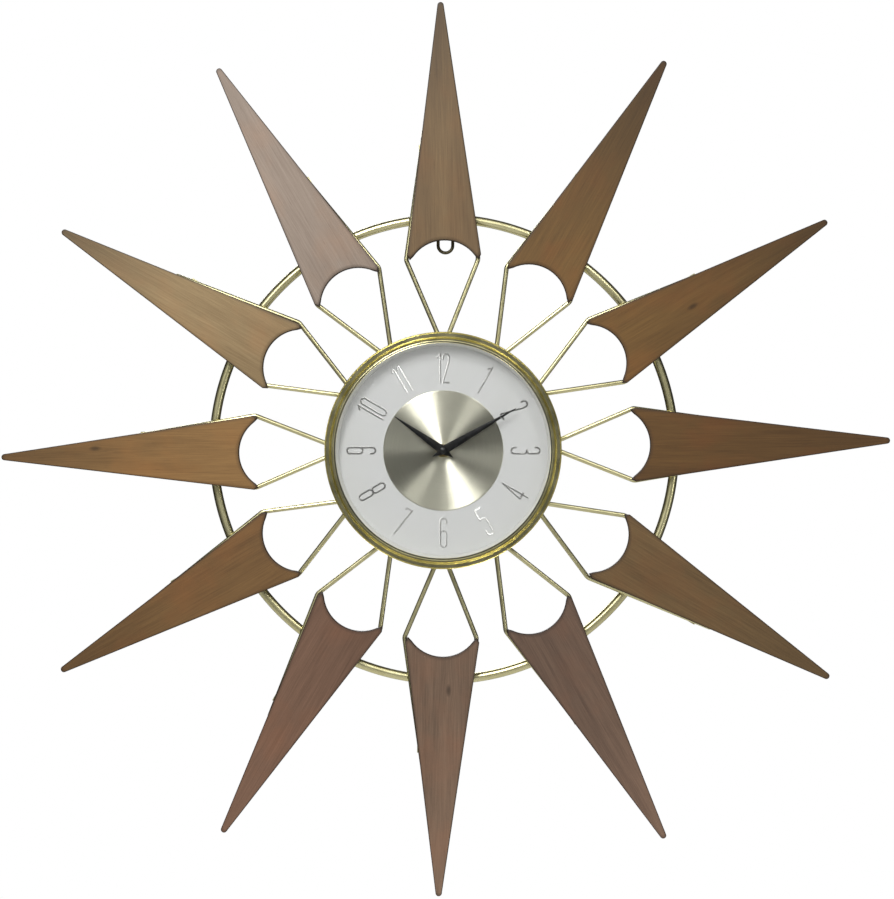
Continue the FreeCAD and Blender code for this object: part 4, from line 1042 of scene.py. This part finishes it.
def hanging_loop_surface():
    """U of round wire: two straight legs and a half circle, carried in the ring's plane."""
    low, high = corners("hanging_loop")
    wire = LOOP_WIRE
    half = (high[0] - low[0]) / 2 - wire
    mid_x, _ = middle("hanging_loop")
    top = high[2] - 1.2 * MM
    floor = low[2] + wire
    path = route([(mid_x - half, top), (mid_x - half, floor), (mid_x + half, floor), (mid_x + half, top)],
                 (half * 0.999, half * 0.999), steps=14)
    path = spread(path, 2 * MM)
    rise = -(low[1] + high[1]) / 2
    return carried(wall_point(path[:, 0], path[:, 1], rise), (0, 1, 0), round_section(wire, 16),
                   ends=dome_ends(wire, 3))


def shaded_loop_wire_material():
    # Gold wire darkened as painted shade, for the loop hangs in shadow behind the twelve o'clock blade.
    return mottled("loop_wire_painted_shade", (0.16, 0.14, 0.08), (0.07, 0.06, 0.035), 0.35, 0.5, slow=200.0,
                   Metallic=0.9)


def weld_material(colours):
    gold = tuple(c * 0.75 for c in colours.gold)
    return mottled("gold_weld", gold, tuple(c * 0.6 for c in colours.gold_shade), 0.35, 0.55, slow=400.0,
                   fast=2500.0, relief=0.05e-3, strength=0.6, Metallic=1.0)


# ------------------------------------------------------------------------- clock head


def rounded_profile(points, rounds, steps=4):
    """Closed profile of (radius, rise) pairs with each corner rounded by its own radius."""
    path = route(points, rounds, steps=steps, closed=True)
    return np.concatenate([path, path[:1]])


BEZEL_GROOVE_IN = 4.5 * MM            # from the bezel's outer edge to the groove between its beads
BEZEL_LIP_IN = 9.3 * MM               # and to the inner bead's far side
BEAD_BULGE = 2.5 * MM


def bezel_profile():
    """Section of the spun rim: skirt, outer bead, groove, inner bead, lens seat."""
    back, front = rises("bezel")
    outer = radius_of("bezel")
    groove = outer - BEZEL_GROOVE_IN
    lip = outer - BEZEL_LIP_IN
    shoulder = front - 2.4 * MM
    seat = radius_of("lens") + 0.15 * MM
    skirt = outer - 1.0 * MM
    start = np.array([[skirt, back + 1.2 * MM], [skirt + 0.15 * MM, back + 0.15 * MM],
                      [(skirt + outer) / 2, back], [outer - 0.12 * MM, back + 0.15 * MM],
                      [outer, back + 0.5 * MM], [outer, (back + shoulder) / 2], [outer, shoulder - 1.2 * MM]])
    outer_bead = bow((outer, shoulder - 0.4 * MM), (groove, shoulder - 0.3 * MM), BEAD_BULGE, 20)
    inner_bead = bow((groove - 0.15 * MM, shoulder - 0.3 * MM), (lip, shoulder - 0.2 * MM), BEAD_BULGE, 20)
    inside = np.array([[lip + 0.05 * MM, front - 2.55 * MM], [lip + 0.3 * MM, front - 2.65 * MM],
                       [seat, front - 2.6 * MM], [seat, shoulder - 6 * MM], [seat + 1.0 * MM, shoulder - 6 * MM],
                       [seat + 1.0 * MM, shoulder - 2.4 * MM], [skirt, shoulder - 2.4 * MM],
                       [skirt, back + 1.2 * MM]])
    return np.concatenate([start, outer_bead, inner_bead, inside])


def bezel_tabs():
    """Six strips folded in from the skirt's edge, behind the pan's flange."""
    back, _ = rises("bezel")
    skirt = radius_of("bezel") - 0.55 * MM
    path = route([(skirt, back + 4 * MM), (skirt, back + 0.5 * MM), (skirt - 5 * MM, back + 0.5 * MM)],
                 (0.8 * MM,), steps=5)
    path = spread(path, 1.5 * MM)
    parts = []
    for number in range(6):
        angle = (number + 0.5) * math.pi / 3
        outward = np.array([math.sin(angle), math.cos(angle)])
        spots = wall_point(AXIS[0] + path[:, 0] * outward[0], AXIS[1] + path[:, 0] * outward[1], path[:, 1])
        side = (outward[1], 0, -outward[0])
        parts.append(carried(spots, side, flat_section(9 * MM, 0.9 * MM, 0.3 * MM)))
    return joined(parts)


class CLOCK_OT_case(bpy.types.Operator):
    """Make the bezel, its tabs, the pan, the ring that holds the lens, and the lens"""

    bl_idname = "clock.case"
    bl_label = "Clock case"

    def execute(self, context):
        colours = context.scene.clock_colours
        gold = gold_material("gold_bezel", tuple(colours.gold), tuple(colours.gold_shade), 0.20, 0.25)
        surface = joined([turned(bezel_profile(), steps=256), bezel_tabs()])
        sharpen(new_piece("gold_bezel", surface, gold, replaces=["bezel"]), 60.0)
        back, front = rises("dial_surround")
        outer = radius_of("dial_surround")
        inner = outer - 3.55 * MM
        mouth = outer - 1.75 * MM
        profile = rounded_profile([(inner, back), (outer, back), (outer, front), (mouth, front)],
                                  (0.1 * MM, 0.3 * MM, 0.3 * MM, 0.2 * MM))
        # Pale grey ring: partly its satin paint, partly a painted reflection that stands in for the bright line of
        # light inside the bezel.
        shade = mottled("surround_paint_and_painted_reflection", (0.74, 0.74, 0.70), (0.68, 0.68, 0.63), 0.35, 0.5, slow=60.0)
        sharpen(new_piece("dial_surround_ring", turned(profile, steps=256), shade,
                          replaces=["dial_surround"]))
        pan = mottled("black_pan_paint", (0.035, 0.035, 0.034), (0.022, 0.022, 0.021), 0.4, 0.55, slow=60.0)
        sharpen(new_piece("case_pan_shell", turned(pan_profile(), steps=192), pan,
                          replaces=["case_pan"]))
        back, front = rises("lens")
        radius = radius_of("lens")
        profile = [(0, back), (radius * 0.5, back), (radius - 0.3 * MM, back), (radius, back + 0.3 * MM),
                   (radius, front - 0.3 * MM), (radius - 0.3 * MM, front), (radius * 0.5, front), (0, front)]
        sharpen(new_piece("lens_glass", turned(profile, steps=192), glass_material("clear_lens"),
                          replaces=["lens"]), 30.0)
        return {"FINISHED"}


PAN_OPENING = 41.0 * MM
PAN_SHEET = 1.0 * MM
PAN_FLANGE = 6.2 * MM


def pan_profile():
    """Section of the stamped dish with rounded bends: opening, floor, wall, flange."""
    back, front = rises("case_pan")
    outer = radius_of("case_pan")
    wall = outer - PAN_FLANGE
    inside = wall - PAN_SHEET
    points = [(PAN_OPENING, back), (wall, back), (wall, front - PAN_SHEET), (outer, front - PAN_SHEET),
              (outer, front), (inside, front), (inside, back + PAN_SHEET), (PAN_OPENING, back + PAN_SHEET)]
    rounds = [0.3 * MM, 1.4 * MM, 0.8 * MM, 0.3 * MM, 0.3 * MM, 1.5 * MM, 0.5 * MM, 0.3 * MM]
    return rounded_profile(points, rounds)


# ------------------------------------------------------------------ dial and numerals


def digit_routes(digit):
    """Centre lines of a condensed digit, in millimetres about its middle.

    Each is (corners, roundings, closed).  The crown and foot are rounded by half the
    digit's width, so a 0 is a rounded slot.
    """
    top, side, waist = 12.15, 2.6, 1.3
    hook = top - 3.9
    if digit == 0:
        return [([(-side, -top), (-side, top), (side, top), (side, -top)], (side,) * 4, True)]
    if digit == 1:
        return [([(1.0, top), (1.0, -top)], (), False), ([(1.0, top - 0.3), (-1.6, top - 2.9)], (), False)]
    if digit == 2:
        return [([(-side, hook), (-side, top), (side, top), (side, 6.9), (-side, -top)],
                 (side, side, 6.0), False),
                ([(-side, -top), (side, -top)], (), False)]
    if digit == 3:
        return [([(-side, hook), (-side, top), (side, top), (side, waist), (-0.8, waist)],
                 (side, side, side), False),
                ([(-0.8, waist), (side, waist), (side, -top), (-side, -top), (-side, -hook)],
                 (side, side, side), False)]
    if digit == 4:
        return [([(1.3, top), (1.3, -top)], (), False), ([(1.1, top), (-2.9, -7.2)], (), False),
                ([(-2.9, -7.2), (3.1, -7.2)], (), False)]
    if digit == 5:
        return [([(side, top), (-side, top)], (), False), ([(-side, top), (-side, 2.6)], (), False),
                ([(-side, 2.6), (-side, 3.1), (side, 3.1), (side, -top), (-side, -top), (-side, -hook)],
                 (0.4, side, side, side), False)]
    if digit == 6:
        return [([(side, hook), (side, top), (-side, top), (-side, -top), (side, -top), (side, waist),
                  (-side, waist), (-side, waist - 3)],
                 (side,) * 6, False)]
    if digit == 7:
        return [([(-side, top - 1.2), (-side, top), (side, top)], (0.3,), False),
                ([(side, top), (-0.9, -top)], (), False)]
    if digit == 8:
        upper = [(-side, 0.5), (-side, top), (side, top), (side, 0.5)]
        lower = [(-side, -top), (-side, 0.5), (side, 0.5), (side, -top)]
        return [(upper, (side,) * 4, True), (lower, (side,) * 4, True)]
    return [([(-x, -y) for x, y in points], rounds, closed) for points, rounds, closed in digit_routes(6)]


def foil_stroke(points, rounds, closed, shift, hour, sizes):
    """One stroke of a numeral: a low dome of foil carried along its centre line.

    The stroke is drawn upright, moved out to the numeral circle and turned to its hour.
    Its UV runs outwards first and round the dial second, as the turning marks do.
    """
    scale = sizes.numeral_height / (25.8 * MM)
    path = route([np.array(p) * scale for p in points], [r * scale for r in rounds], steps=8, closed=closed)
    path = spread(path, 1.5, closed=closed) * MM
    flip = -1 if 4 <= hour <= 8 else 1
    local_x = flip * (path[:, 0] + shift * MM)
    local_z = flip * path[:, 1] + sizes.numeral_radius
    angle = hour * math.pi / 6
    x, z = placed(local_x, local_z, AXIS, angle)
    _, dial_front = rises("dial")
    half = sizes.numeral_stroke / 2
    lift = 0.16 * MM
    edge = 0.07 * MM
    # The section's first part is its height off the dial, because side points outwards.
    section = np.array([[0, half], [lift - edge, half], [lift - 0.3 * edge, half - 0.3 * edge],
                        [lift, half - edge], [lift + 0.01 * MM, 0.35 * half], [lift + 0.01 * MM, -0.35 * half],
                        [lift, edge - half], [lift - 0.3 * edge, 0.3 * edge - half], [lift - edge, -half],
                        [0, -half]])
    rows = [(half * math.sin(a), math.cos(a)) for a in np.linspace(0, math.pi / 2, 5)[1:]]
    points_3d, faces, _ = carried(wall_point(x, z, dial_front), (0, -1, 0), section, closed=closed,
                                  ends=[(r, max(0.0, s)) for r, s in rows])
    spoke = points_3d[:, [0, 2]] - AXIS
    reach = np.hypot(spoke[:, 0], spoke[:, 1])
    swing = np.arctan2(spoke[:, 0], spoke[:, 1]) - angle
    swing = (swing + math.pi) % (2 * math.pi) - math.pi + angle
    uv_of = np.stack([reach, swing / (2 * math.pi)], axis=1)
    return points_3d, faces, uv_of[faces]


PAIRS = {10: ((1, -3.9), (0, 2.6)), 11: ((1, -2.9), (1, 2.1)), 12: ((1, -3.6), (2, 2.35))}


def numeral_surfaces(sizes):
    """All strokes of the twelve numerals."""
    parts = []
    for hour in RAYS:
        for digit, shift in PAIRS.get(hour, ((hour, 0.0),)):
            for points, rounds, closed in digit_routes(digit):
                parts.append(foil_stroke(points, rounds, closed, shift, hour, sizes))
    return joined(parts)


class CLOCK_OT_dial(bpy.types.Operator):
    """Make the dial's brushed disc and numerals, and finish the printed dial"""

    bl_idname = "clock.dial"
    bl_label = "Dial and numerals"

    def execute(self, context):
        sizes = context.scene.clock_sizes
        colours = context.scene.clock_colours
        back, front = rises("centre_disc")
        radius = radius_of("centre_disc")
        hole = 4.3 * MM
        steps = np.linspace(hole + 0.2 * MM, radius - 0.25 * MM, 40)
        face = [(r, front) for r in steps]
        profile = [(hole, back), (hole, front - 0.1 * MM)] + face \
            + [(radius - 0.08 * MM, front - 0.08 * MM), (radius, front - 0.25 * MM), (radius, back), (hole, back)]
        disc_colour = tuple(colours.disc)
        disc = turned_metal("brushed_disc_metal", disc_colour, tuple(c * 0.86 for c in disc_colour), 0.32, 0.38,
                            2600.0, 1.0)
        sharpen(new_piece("brushed_disc", turned(profile, steps=256), disc,
                          replaces=["centre_disc"]))
        foil_colour = tuple(colours.foil)
        foil = turned_metal("numeral_foil_metal", foil_colour, tuple(c * 0.8 for c in foil_colour), 0.30, 0.36,
                            3000.0, 1.0)
        new_piece("foil_numerals", numeral_surfaces(sizes), foil, replaces=["numerals"])
        dress("dial", dial_material("dial_card", tuple(colours.dial)))
        return {"FINISHED"}


# ------------------------------------------------------------------------------ hands


# Each hand's node, body, angle from twelve in degrees, and reach from the axis to its tip.
HANDS = (("hour_hand", "hour_set", 305.0, 50.2 * MM), ("minute_hand", "minute_set", 60.0, 71.6 * MM))
HAND_THICK = 0.6 * MM
HAND_HUB = 3.75 * MM
HAND_TAIL = 10.5 * MM
HAND_WIDEST = 3.6 * MM                # half width beside the hub
HAND_TIP = 0.3 * MM                   # half width added all along, which blunts the tip


def hand_surface(node, angle, reach):
    """A long four-sided hand with a low ridge, on a round hub with a collar.

    The blade's half width grows evenly from the tail's point to the hub and shrinks
    evenly to the tip; its section is a flat bottom, two short sides and two slopes that
    meet at the ridge.
    """
    collar, front = rises(node)
    back = front - HAND_THICK
    heading = np.array([math.sin(angle), math.cos(angle)])
    share = np.concatenate([np.linspace(-HAND_TAIL, 0, 9), np.linspace(0, reach, 61)[1:]])
    half = np.where(share < 0, HAND_WIDEST * (1 + share / HAND_TAIL),
                    HAND_WIDEST * (1 - share / reach) + HAND_TIP)
    half = np.maximum(half, 0.12 * MM)
    spots = wall_point(AXIS[0] + heading[0] * share, AXIS[1] + heading[1] * share, back)
    ridge, shoulder = HAND_THICK, 0.36 * MM
    section = np.array([[0, -1.0], [0.06 * MM, -1.0], [shoulder, -0.97], [shoulder + 0.05 * MM, -0.9],
                        [ridge - 0.03 * MM, -0.12], [ridge, 0.0], [ridge - 0.03 * MM, 0.12],
                        [shoulder + 0.05 * MM, 0.9], [shoulder, 0.97], [0.06 * MM, 1.0], [0, 1.0], [0, 0.3],
                        [0, -0.3]])
    blade = carried(spots, (0, -1, 0), section, depth=half, ends=((0.15 * MM, 0.3), (0.2 * MM, 0.0)))
    hub = turned([(0, back - 0.02 * MM), (HAND_HUB - 0.1 * MM, back - 0.02 * MM), (HAND_HUB, back + 0.1 * MM),
                  (HAND_HUB, front - 0.12 * MM), (HAND_HUB - 0.12 * MM, front + 0.04 * MM),
                  (0, front + 0.04 * MM)], steps=64)
    sleeve = turned([(0, collar), (HAND_HUB - 1.2 * MM, collar), (HAND_HUB - 1.1 * MM, collar + 0.1 * MM),
                     (HAND_HUB - 1.1 * MM, back), (0, back)], steps=48)
    return joined([blade, hub, sleeve])


def cap_nut_surface():
    """Domed nut: a short milled skirt under a round crown."""
    back, front = rises("hand_nut")
    radius = radius_of("hand_nut")
    skirt = back + 1.2 * MM
    lift = front - skirt
    crown = [(radius * 0.97 * math.cos(a), skirt + lift * math.sin(a)) for a in np.linspace(0, math.pi / 2, 12)]
    profile = [(0, back), (radius - 0.15 * MM, back), (radius, back + 0.15 * MM),
               (radius, skirt - 0.15 * MM)] + crown

    def milling(angle, ring, rise):
        on_skirt = (ring > radius - 0.05 * MM) & (rise < skirt)
        return np.where(on_skirt, 1 - 0.02 * (0.5 + 0.5 * np.cos(angle * 36)), 1.0)

    return turned(profile, steps=216, ripple=milling)


def hex_nut_surface():
    """Six-sided nut: the radius follows a hexagon's side, its front edge chamfered round."""
    back, front = rises("bushing_nut")
    corner = radius_of("bushing_nut")
    bore = 4.05 * MM

    def six_sides(angle, ring, rise):
        flat = np.cos(math.pi / 6) / np.cos((angle + math.pi / 6) % (math.pi / 3) - math.pi / 6)
        return np.where(ring > corner * 0.93, flat, 1.0)

    profile = [(bore, back), (corner, back), (corner, front - 0.7 * MM), (corner * 0.95, front - 0.25 * MM),
               (corner * 0.86, front), (bore + 0.35 * MM, front), (bore, front - 0.3 * MM), (bore, back)]
    return turned(profile, steps=180, ripple=six_sides)


class CLOCK_OT_hands(bpy.types.Operator):
    """Make the two hands, the cap nut that holds them and the dial's gold nut"""

    bl_idname = "clock.hands"
    bl_label = "Hands"

    def execute(self, context):
        colour = tuple(context.scene.clock_colours.hands)
        black = mottled("hand_paint", colour, (0.004, 0.004, 0.004), 0.42, 0.55, slow=150.0, fast=1800.0,
                        relief=0.004e-3, strength=0.2, Specular_IOR_Level=0.2)
        gloss = mottled("nut_lacquer", colour, (0.004, 0.004, 0.004), 0.16, 0.24, slow=150.0, fast=1800.0,
                        relief=0.004e-3, strength=0.1)
        for node, body, angle, reach in HANDS:
            surface = hand_surface(node, math.radians(angle), reach)
            sharpen(new_piece("black_" + node, surface, black, body=body,
                              replaces=[node]), 30.0)
        sharpen(new_piece("cap_nut", cap_nut_surface(), gloss, body="minute_set",
                          replaces=["hand_nut"]), 40.0)
        brass = gold_material("dial_nut_brass", (0.80, 0.72, 0.42), (0.50, 0.42, 0.20), 0.18, 0.3)
        sharpen(new_piece("gold_dial_nut", hex_nut_surface(), brass, replaces=["bushing_nut"]), 25.0)
        return {"FINISHED"}


# --------------------------------------------------------------------------- movement


def battery_surface():
    """Dry cell lying along X: jacket with crimped ends, negative dish and positive button."""
    low, high = corners("battery")
    radius = (high[2] - low[2]) / 2
    start, end = low[0], high[0]
    profile = np.array([(0.0, 0.25), (3.8, 0.25), (4.2, 0.0), (radius / MM - 0.9, 0.0), (radius / MM - 0.35, 0.15),
                        (radius / MM - 0.1, 0.6), (radius / MM, 1.2)]) * MM
    length = end - start
    tail = np.array([(radius, length - 2.6 * MM), (radius - 0.1 * MM, length - 1.9 * MM),
                     (radius - 0.4 * MM, length - 1.4 * MM), (radius - 1.2 * MM, length - 1.25 * MM),
                     (2.9 * MM, length - 1.2 * MM), (2.7 * MM, length - 0.9 * MM), (2.7 * MM, length - 0.25 * MM),
                     (2.4 * MM, length), (0, length)])
    full = np.concatenate([profile, tail])
    steps = 72
    angle = np.arange(steps) * 2 * math.pi / steps
    _, middle_y, middle_z = (low + high) / 2
    points = np.stack([start + full[:, 1:2] + 0 * angle, middle_y + full[:, :1] * np.cos(angle),
                       middle_z + full[:, :1] * np.sin(angle)], axis=-1).reshape(-1, 3)
    faces = quads(len(full), steps, wrap_columns=True)
    uv_of = np.stack(np.broadcast_arrays(full[:, 1:2], angle[None, :] / (2 * math.pi)), axis=-1).reshape(-1, 2)
    return points, faces, uv_of[faces]


def battery_material():
    """Lacquered jacket: dark body, copper-coloured band by the positive end, bare metal ends."""
    material, nodes, shader = new_material("battery_lacquer")
    place = nodes.add("TexCoord").outputs["Object"]
    split = nodes.add("SeparateXYZ")
    nodes.link(place, split.inputs[0])
    low, high = corners("battery")
    span = high[0] - low[0]
    share = nodes.maths("DIVIDE", nodes.maths("SUBTRACT", split.outputs[0], float(low[0])), float(span))
    body, band, bare = (0.012, 0.014, 0.018), (0.45, 0.22, 0.09), (0.55, 0.55, 0.53)
    stops = [(0.0, bare), (0.024, body), (0.70, body), (0.702, band), (0.945, band), (0.948, bare)]
    ramp = nodes.add("ValToRGB")
    ramp.color_ramp.interpolation = "CONSTANT"
    elements = ramp.color_ramp.elements
    while len(elements) < len(stops):
        elements.new(0.5)
    for element, (spot, colour) in zip(elements, stops):
        element.position = spot
        element.color = (*colour, 1.0)
    nodes.link(share, ramp.inputs[0])
    mottle = nodes.group(group("mottle"), Place=place, Slow=90.0, Fast=1500.0)
    smudge = nodes.maths("MULTIPLY", mottle.outputs["Mask"], 0.12)
    nodes.link(nodes.mix(smudge, ramp.outputs[0], (0.02, 0.02, 0.02)), shader.inputs["Base Color"])
    nodes.link(nodes.ramp(share, [(0.0, 1.0), (0.022, 1.0), (0.026, 0.15), (0.69, 0.15), (0.71, 0.9), (1.0, 1.0)]),
               shader.inputs["Metallic"])
    nodes.link(nodes.maths("ADD", nodes.maths("MULTIPLY", mottle.outputs["Mask"], 0.1), 0.22),
               shader.inputs["Roughness"])
    return material


class CLOCK_OT_movement(bpy.types.Operator):
    """Make the dry cell and finish the movement's pieces"""

    bl_idname = "clock.movement"
    bl_label = "Movement"

    def execute(self, context):
        new_piece("dry_cell", battery_surface(), battery_material(), replaces=["battery"])
        dress("setting_knob", mottled("knob_plastic_black", (0.030, 0.030, 0.030), (0.018, 0.018, 0.018), 0.42,
                                      0.58, slow=120.0))
        shell = mottled("case_plastic_black", (0.028, 0.028, 0.030), (0.018, 0.018, 0.019), 0.45, 0.6, slow=90.0,
                        fast=3500.0, relief=0.03e-3, strength=0.5)
        for node in ("movement_case", "movement_cover"):
            dress(node, shell)
        pale = mottled("pale_acetal", (0.62, 0.61, 0.55), (0.52, 0.51, 0.45), 0.38, 0.5, slow=150.0)
        for node in ("middle_plate", "intermediate_wheel", "seconds_wheel", "third_wheel", "centre_wheel",
                     "motion_wheel", "hour_wheel"):
            dress(node, pale)
        brass = gold_material("turned_brass", (0.80, 0.62, 0.28), (0.55, 0.40, 0.16), 0.2, 0.32)
        for node in ("bushing", "minute_arbor"):
            dress(node, brass)
        steel = mottled("plated_steel", (0.60, 0.60, 0.58), (0.48, 0.48, 0.46), 0.26, 0.42, slow=200.0,
                        Metallic=1.0)
        for node in ("blade_screws", "battery_contacts", "stator"):
            dress(node, steel)
        dress("rotor", mottled("bonded_magnet", (0.10, 0.10, 0.11), (0.07, 0.07, 0.07), 0.4, 0.5))
        dress("coil", mottled("enamelled_copper", (0.52, 0.20, 0.08), (0.34, 0.12, 0.05), 0.25, 0.4, slow=900.0,
                              Metallic=1.0))
        dress("circuit_board", mottled("board_laminate", (0.03, 0.16, 0.07), (0.02, 0.10, 0.05), 0.3, 0.45))
        rubber = mottled("black_rubber", (0.022, 0.022, 0.022), (0.014, 0.014, 0.014), 0.7, 0.85, slow=200.0)
        for node in ("lens_gasket", "rubber_washer"):
            dress(node, rubber)
        colours = context.scene.clock_colours
        dress("blade_straps", gold_material("gold_strap", tuple(colours.gold), tuple(colours.gold_shade),
                                            0.3, 0.42))
        dress("dial_plate", mottled("plate_paint", (0.05, 0.05, 0.05), (0.035, 0.035, 0.035), 0.4, 0.55,
                                    slow=60.0))
        return {"FINISHED"}


# ------------------------------------------------------------------------------ stage


CAMERA_DISTANCE = 2.0
CAMERA_YAW = 1.06
CAMERA_PITCH = -0.50
CAMERA_AIM = (AXIS[0] + 2.78 * MM, 0.0, AXIS[1] + 1.1 * MM)
CAMERA_LENS = 92.6


def add_camera():
    """Camera on a sphere about its aim, a little to the right of the clock's axis."""
    yaw, pitch = math.radians(CAMERA_YAW), math.radians(CAMERA_PITCH)
    back = Vector((math.sin(yaw) * math.cos(pitch), -math.cos(yaw) * math.cos(pitch), math.sin(pitch)))
    data = bpy.data.cameras.new("view_camera")
    data.lens = CAMERA_LENS
    data.sensor_width = 36.0
    camera = bpy.data.objects.new("view_camera", data)
    camera.location = Vector(CAMERA_AIM) + back * CAMERA_DISTANCE
    camera.rotation_mode = "QUATERNION"
    camera.rotation_quaternion = (-back).to_track_quat("-Z", "Y")
    bpy.context.scene.collection.objects.link(camera)
    bpy.context.scene.camera = camera


# Name, azimuth and tilt in degrees, distance, width and height in metres, and watts.
SOFTBOXES = (
    ("key_softbox", -23, 38, 1.7, 0.34, 0.80, 13),
    ("second_softbox", 32, 46, 1.7, 0.20, 0.60, 3),
    ("side_strip", 98, 46, 1.7, 0.10, 0.60, 1.2),
    ("rear_softbox", -30, 152, 2.6, 1.0, 1.0, 16),
)


def add_softbox(name, azimuth, tilt, distance, width, height, power):
    """Area light aimed at the dial; azimuth is clockwise from twelve, tilt is off the dial's axis."""
    turn, lean = math.radians(azimuth), math.radians(tilt)
    way = Vector((math.sin(lean) * math.sin(turn), -math.cos(lean), math.sin(lean) * math.cos(turn)))
    centre = Vector((float(AXIS[0]), 0.0, float(AXIS[1])))
    data = bpy.data.lights.new(name, "AREA")
    data.shape = "RECTANGLE"
    data.size, data.size_y = width, height
    data.energy = power
    lamp = bpy.data.objects.new(name, data)
    lamp.location = centre + way * distance
    lamp.rotation_mode = "QUATERNION"
    lamp.rotation_quaternion = way.to_track_quat("Z", "Y")
    bpy.context.scene.collection.objects.link(lamp)


# Brightness of the studio's walls round the dial's axis, from six o'clock clockwise over
# nine, twelve and three back to six.
WORLD_STRIPS = [(0.000, 0.62), (0.070, 0.62), (0.100, 0.75), (0.125, 0.10), (0.235, 0.10), (0.265, 0.50),
                (0.290, 0.22), (0.420, 0.26), (0.480, 0.60), (0.580, 0.62), (0.600, 0.75), (0.625, 0.12),
                (0.745, 0.12), (0.772, 0.50), (0.800, 0.24), (0.920, 0.30), (0.980, 0.62)]


def add_world():
    """White surround.  Soft light comes evenly from it, and mirrors see walls of several tones
    round the dial's axis, a dark camera side and a dark far side."""
    world = bpy.data.worlds.new("studio")
    world.use_nodes = True
    bpy.context.scene.world = world
    nodes = Nodes(world.node_tree)
    output = world.node_tree.nodes["World Output"]
    seen = world.node_tree.nodes["Background"]
    seen.inputs[0].default_value = (1, 1, 1, 1)
    seen.inputs[1].default_value = 1.0
    place = nodes.add("TexCoord").outputs["Generated"]
    split = nodes.add("SeparateXYZ")
    nodes.link(place, split.inputs[0])
    x, y, z = split.outputs
    depth = nodes.maths("ADD", nodes.maths("MULTIPLY", y, -0.5), 0.5)
    even = nodes.ramp(depth, [(0.0, 0.46), (0.5, 0.42), (1.0, 0.56)])
    turn = nodes.maths("DIVIDE", nodes.maths("ARCTAN2", x, z), 2 * math.pi)
    turn = nodes.maths("ADD", turn, 0.5)
    strips = nodes.ramp(turn, WORLD_STRIPS)
    shade = nodes.ramp(depth, [(0.0, 0.10), (0.30, 0.03), (0.50, 0.05), (0.70, 0.35), (0.84, 1.0), (0.990, 1.0),
                                (0.9965, 0.04)])
    mirrored = nodes.mix(1.0, strips, shade, "MULTIPLY")
    path = nodes.add("LightPath")
    tone = nodes.mix(path.outputs["Is Glossy Ray"], even, mirrored)
    lit = nodes.add("Background")
    nodes.link(tone, lit.inputs[0])
    lit.inputs[1].default_value = 1.0
    blend = nodes.add("MixShader")
    nodes.link(path.outputs["Is Camera Ray"], blend.inputs[0])
    nodes.link(lit.outputs[0], blend.inputs[1])
    nodes.link(seen.outputs[0], blend.inputs[2])
    nodes.link(blend.outputs[0], output.inputs["Surface"])


def add_floor(low):
    """Pale floor well below the clock: a grid with a gentle dip at its middle."""
    rows = 24
    x = np.linspace(-2.2, 2.2, rows)[None, :]
    y = np.linspace(-2.2, 2.2, rows)[:, None]
    z = low - 1.1 - 0.004 * np.cos(x) * np.cos(y)
    points = np.stack(np.broadcast_arrays(x, y, z), axis=-1).reshape(-1, 3)
    faces = quads(rows, rows)
    mesh = bpy.data.meshes.new("pale_floor")
    mesh.from_pydata(points.tolist(), [], faces.tolist())
    mesh.materials.append(mottled("floor_paint", (0.82, 0.82, 0.81), (0.79, 0.79, 0.78), 0.55, 0.7, slow=3.0,
                                  fast=60.0))
    floor = bpy.data.objects.new("pale_floor", mesh)
    bpy.context.scene.collection.objects.link(floor)
    floor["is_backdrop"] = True


class CLOCK_OT_stage(bpy.types.Operator):
    """Set up the floor, the soft lights, the surround and the camera"""

    bl_idname = "clock.stage"
    bl_label = "Studio"

    def execute(self, context):
        low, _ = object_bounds()
        add_floor(low[2])
        for softbox in SOFTBOXES:
            add_softbox(*softbox)
        add_world()
        add_camera()
        context.scene.view_settings.view_transform = "Standard"
        return {"FINISHED"}


# ------------------------------------------------------------------------------ panel


class CLOCK_PT_panel(bpy.types.Panel):
    """Lists the clock's settings and the operators that build it"""

    bl_idname = "CLOCK_PT_panel"
    bl_label = "Sunburst clock"
    bl_space_type = "VIEW_3D"
    bl_region_type = "UI"
    bl_category = "Clock"

    def draw(self, context):
        layout = self.layout
        for settings in (context.scene.clock_sizes, context.scene.clock_colours):
            box = layout.box()
            for name in settings.__annotations__:
                box.prop(settings, name)
        for operator in OPERATORS:
            layout.operator(operator.bl_idname)


OPERATORS = (CLOCK_OT_blades, CLOCK_OT_wires, CLOCK_OT_case, CLOCK_OT_dial, CLOCK_OT_hands, CLOCK_OT_movement,
             CLOCK_OT_stage)
CLASSES = (ClockSizes, ClockColours) + OPERATORS + (CLOCK_PT_panel,)


def register():
    for kind in CLASSES:
        bpy.utils.register_class(kind)
    bpy.types.Scene.clock_sizes = bpy.props.PointerProperty(type=ClockSizes)
    bpy.types.Scene.clock_colours = bpy.props.PointerProperty(type=ClockColours)


def unregister():
    del bpy.types.Scene.clock_colours
    del bpy.types.Scene.clock_sizes
    for kind in reversed(CLASSES):
        bpy.utils.unregister_class(kind)


def main():
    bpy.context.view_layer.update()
    register()
    bpy.ops.clock.blades()
    bpy.ops.clock.wires()
    bpy.ops.clock.case()
    bpy.ops.clock.dial()
    bpy.ops.clock.hands()
    bpy.ops.clock.movement()
    bpy.ops.clock.stage()


if __name__ == "__main__":
    main()
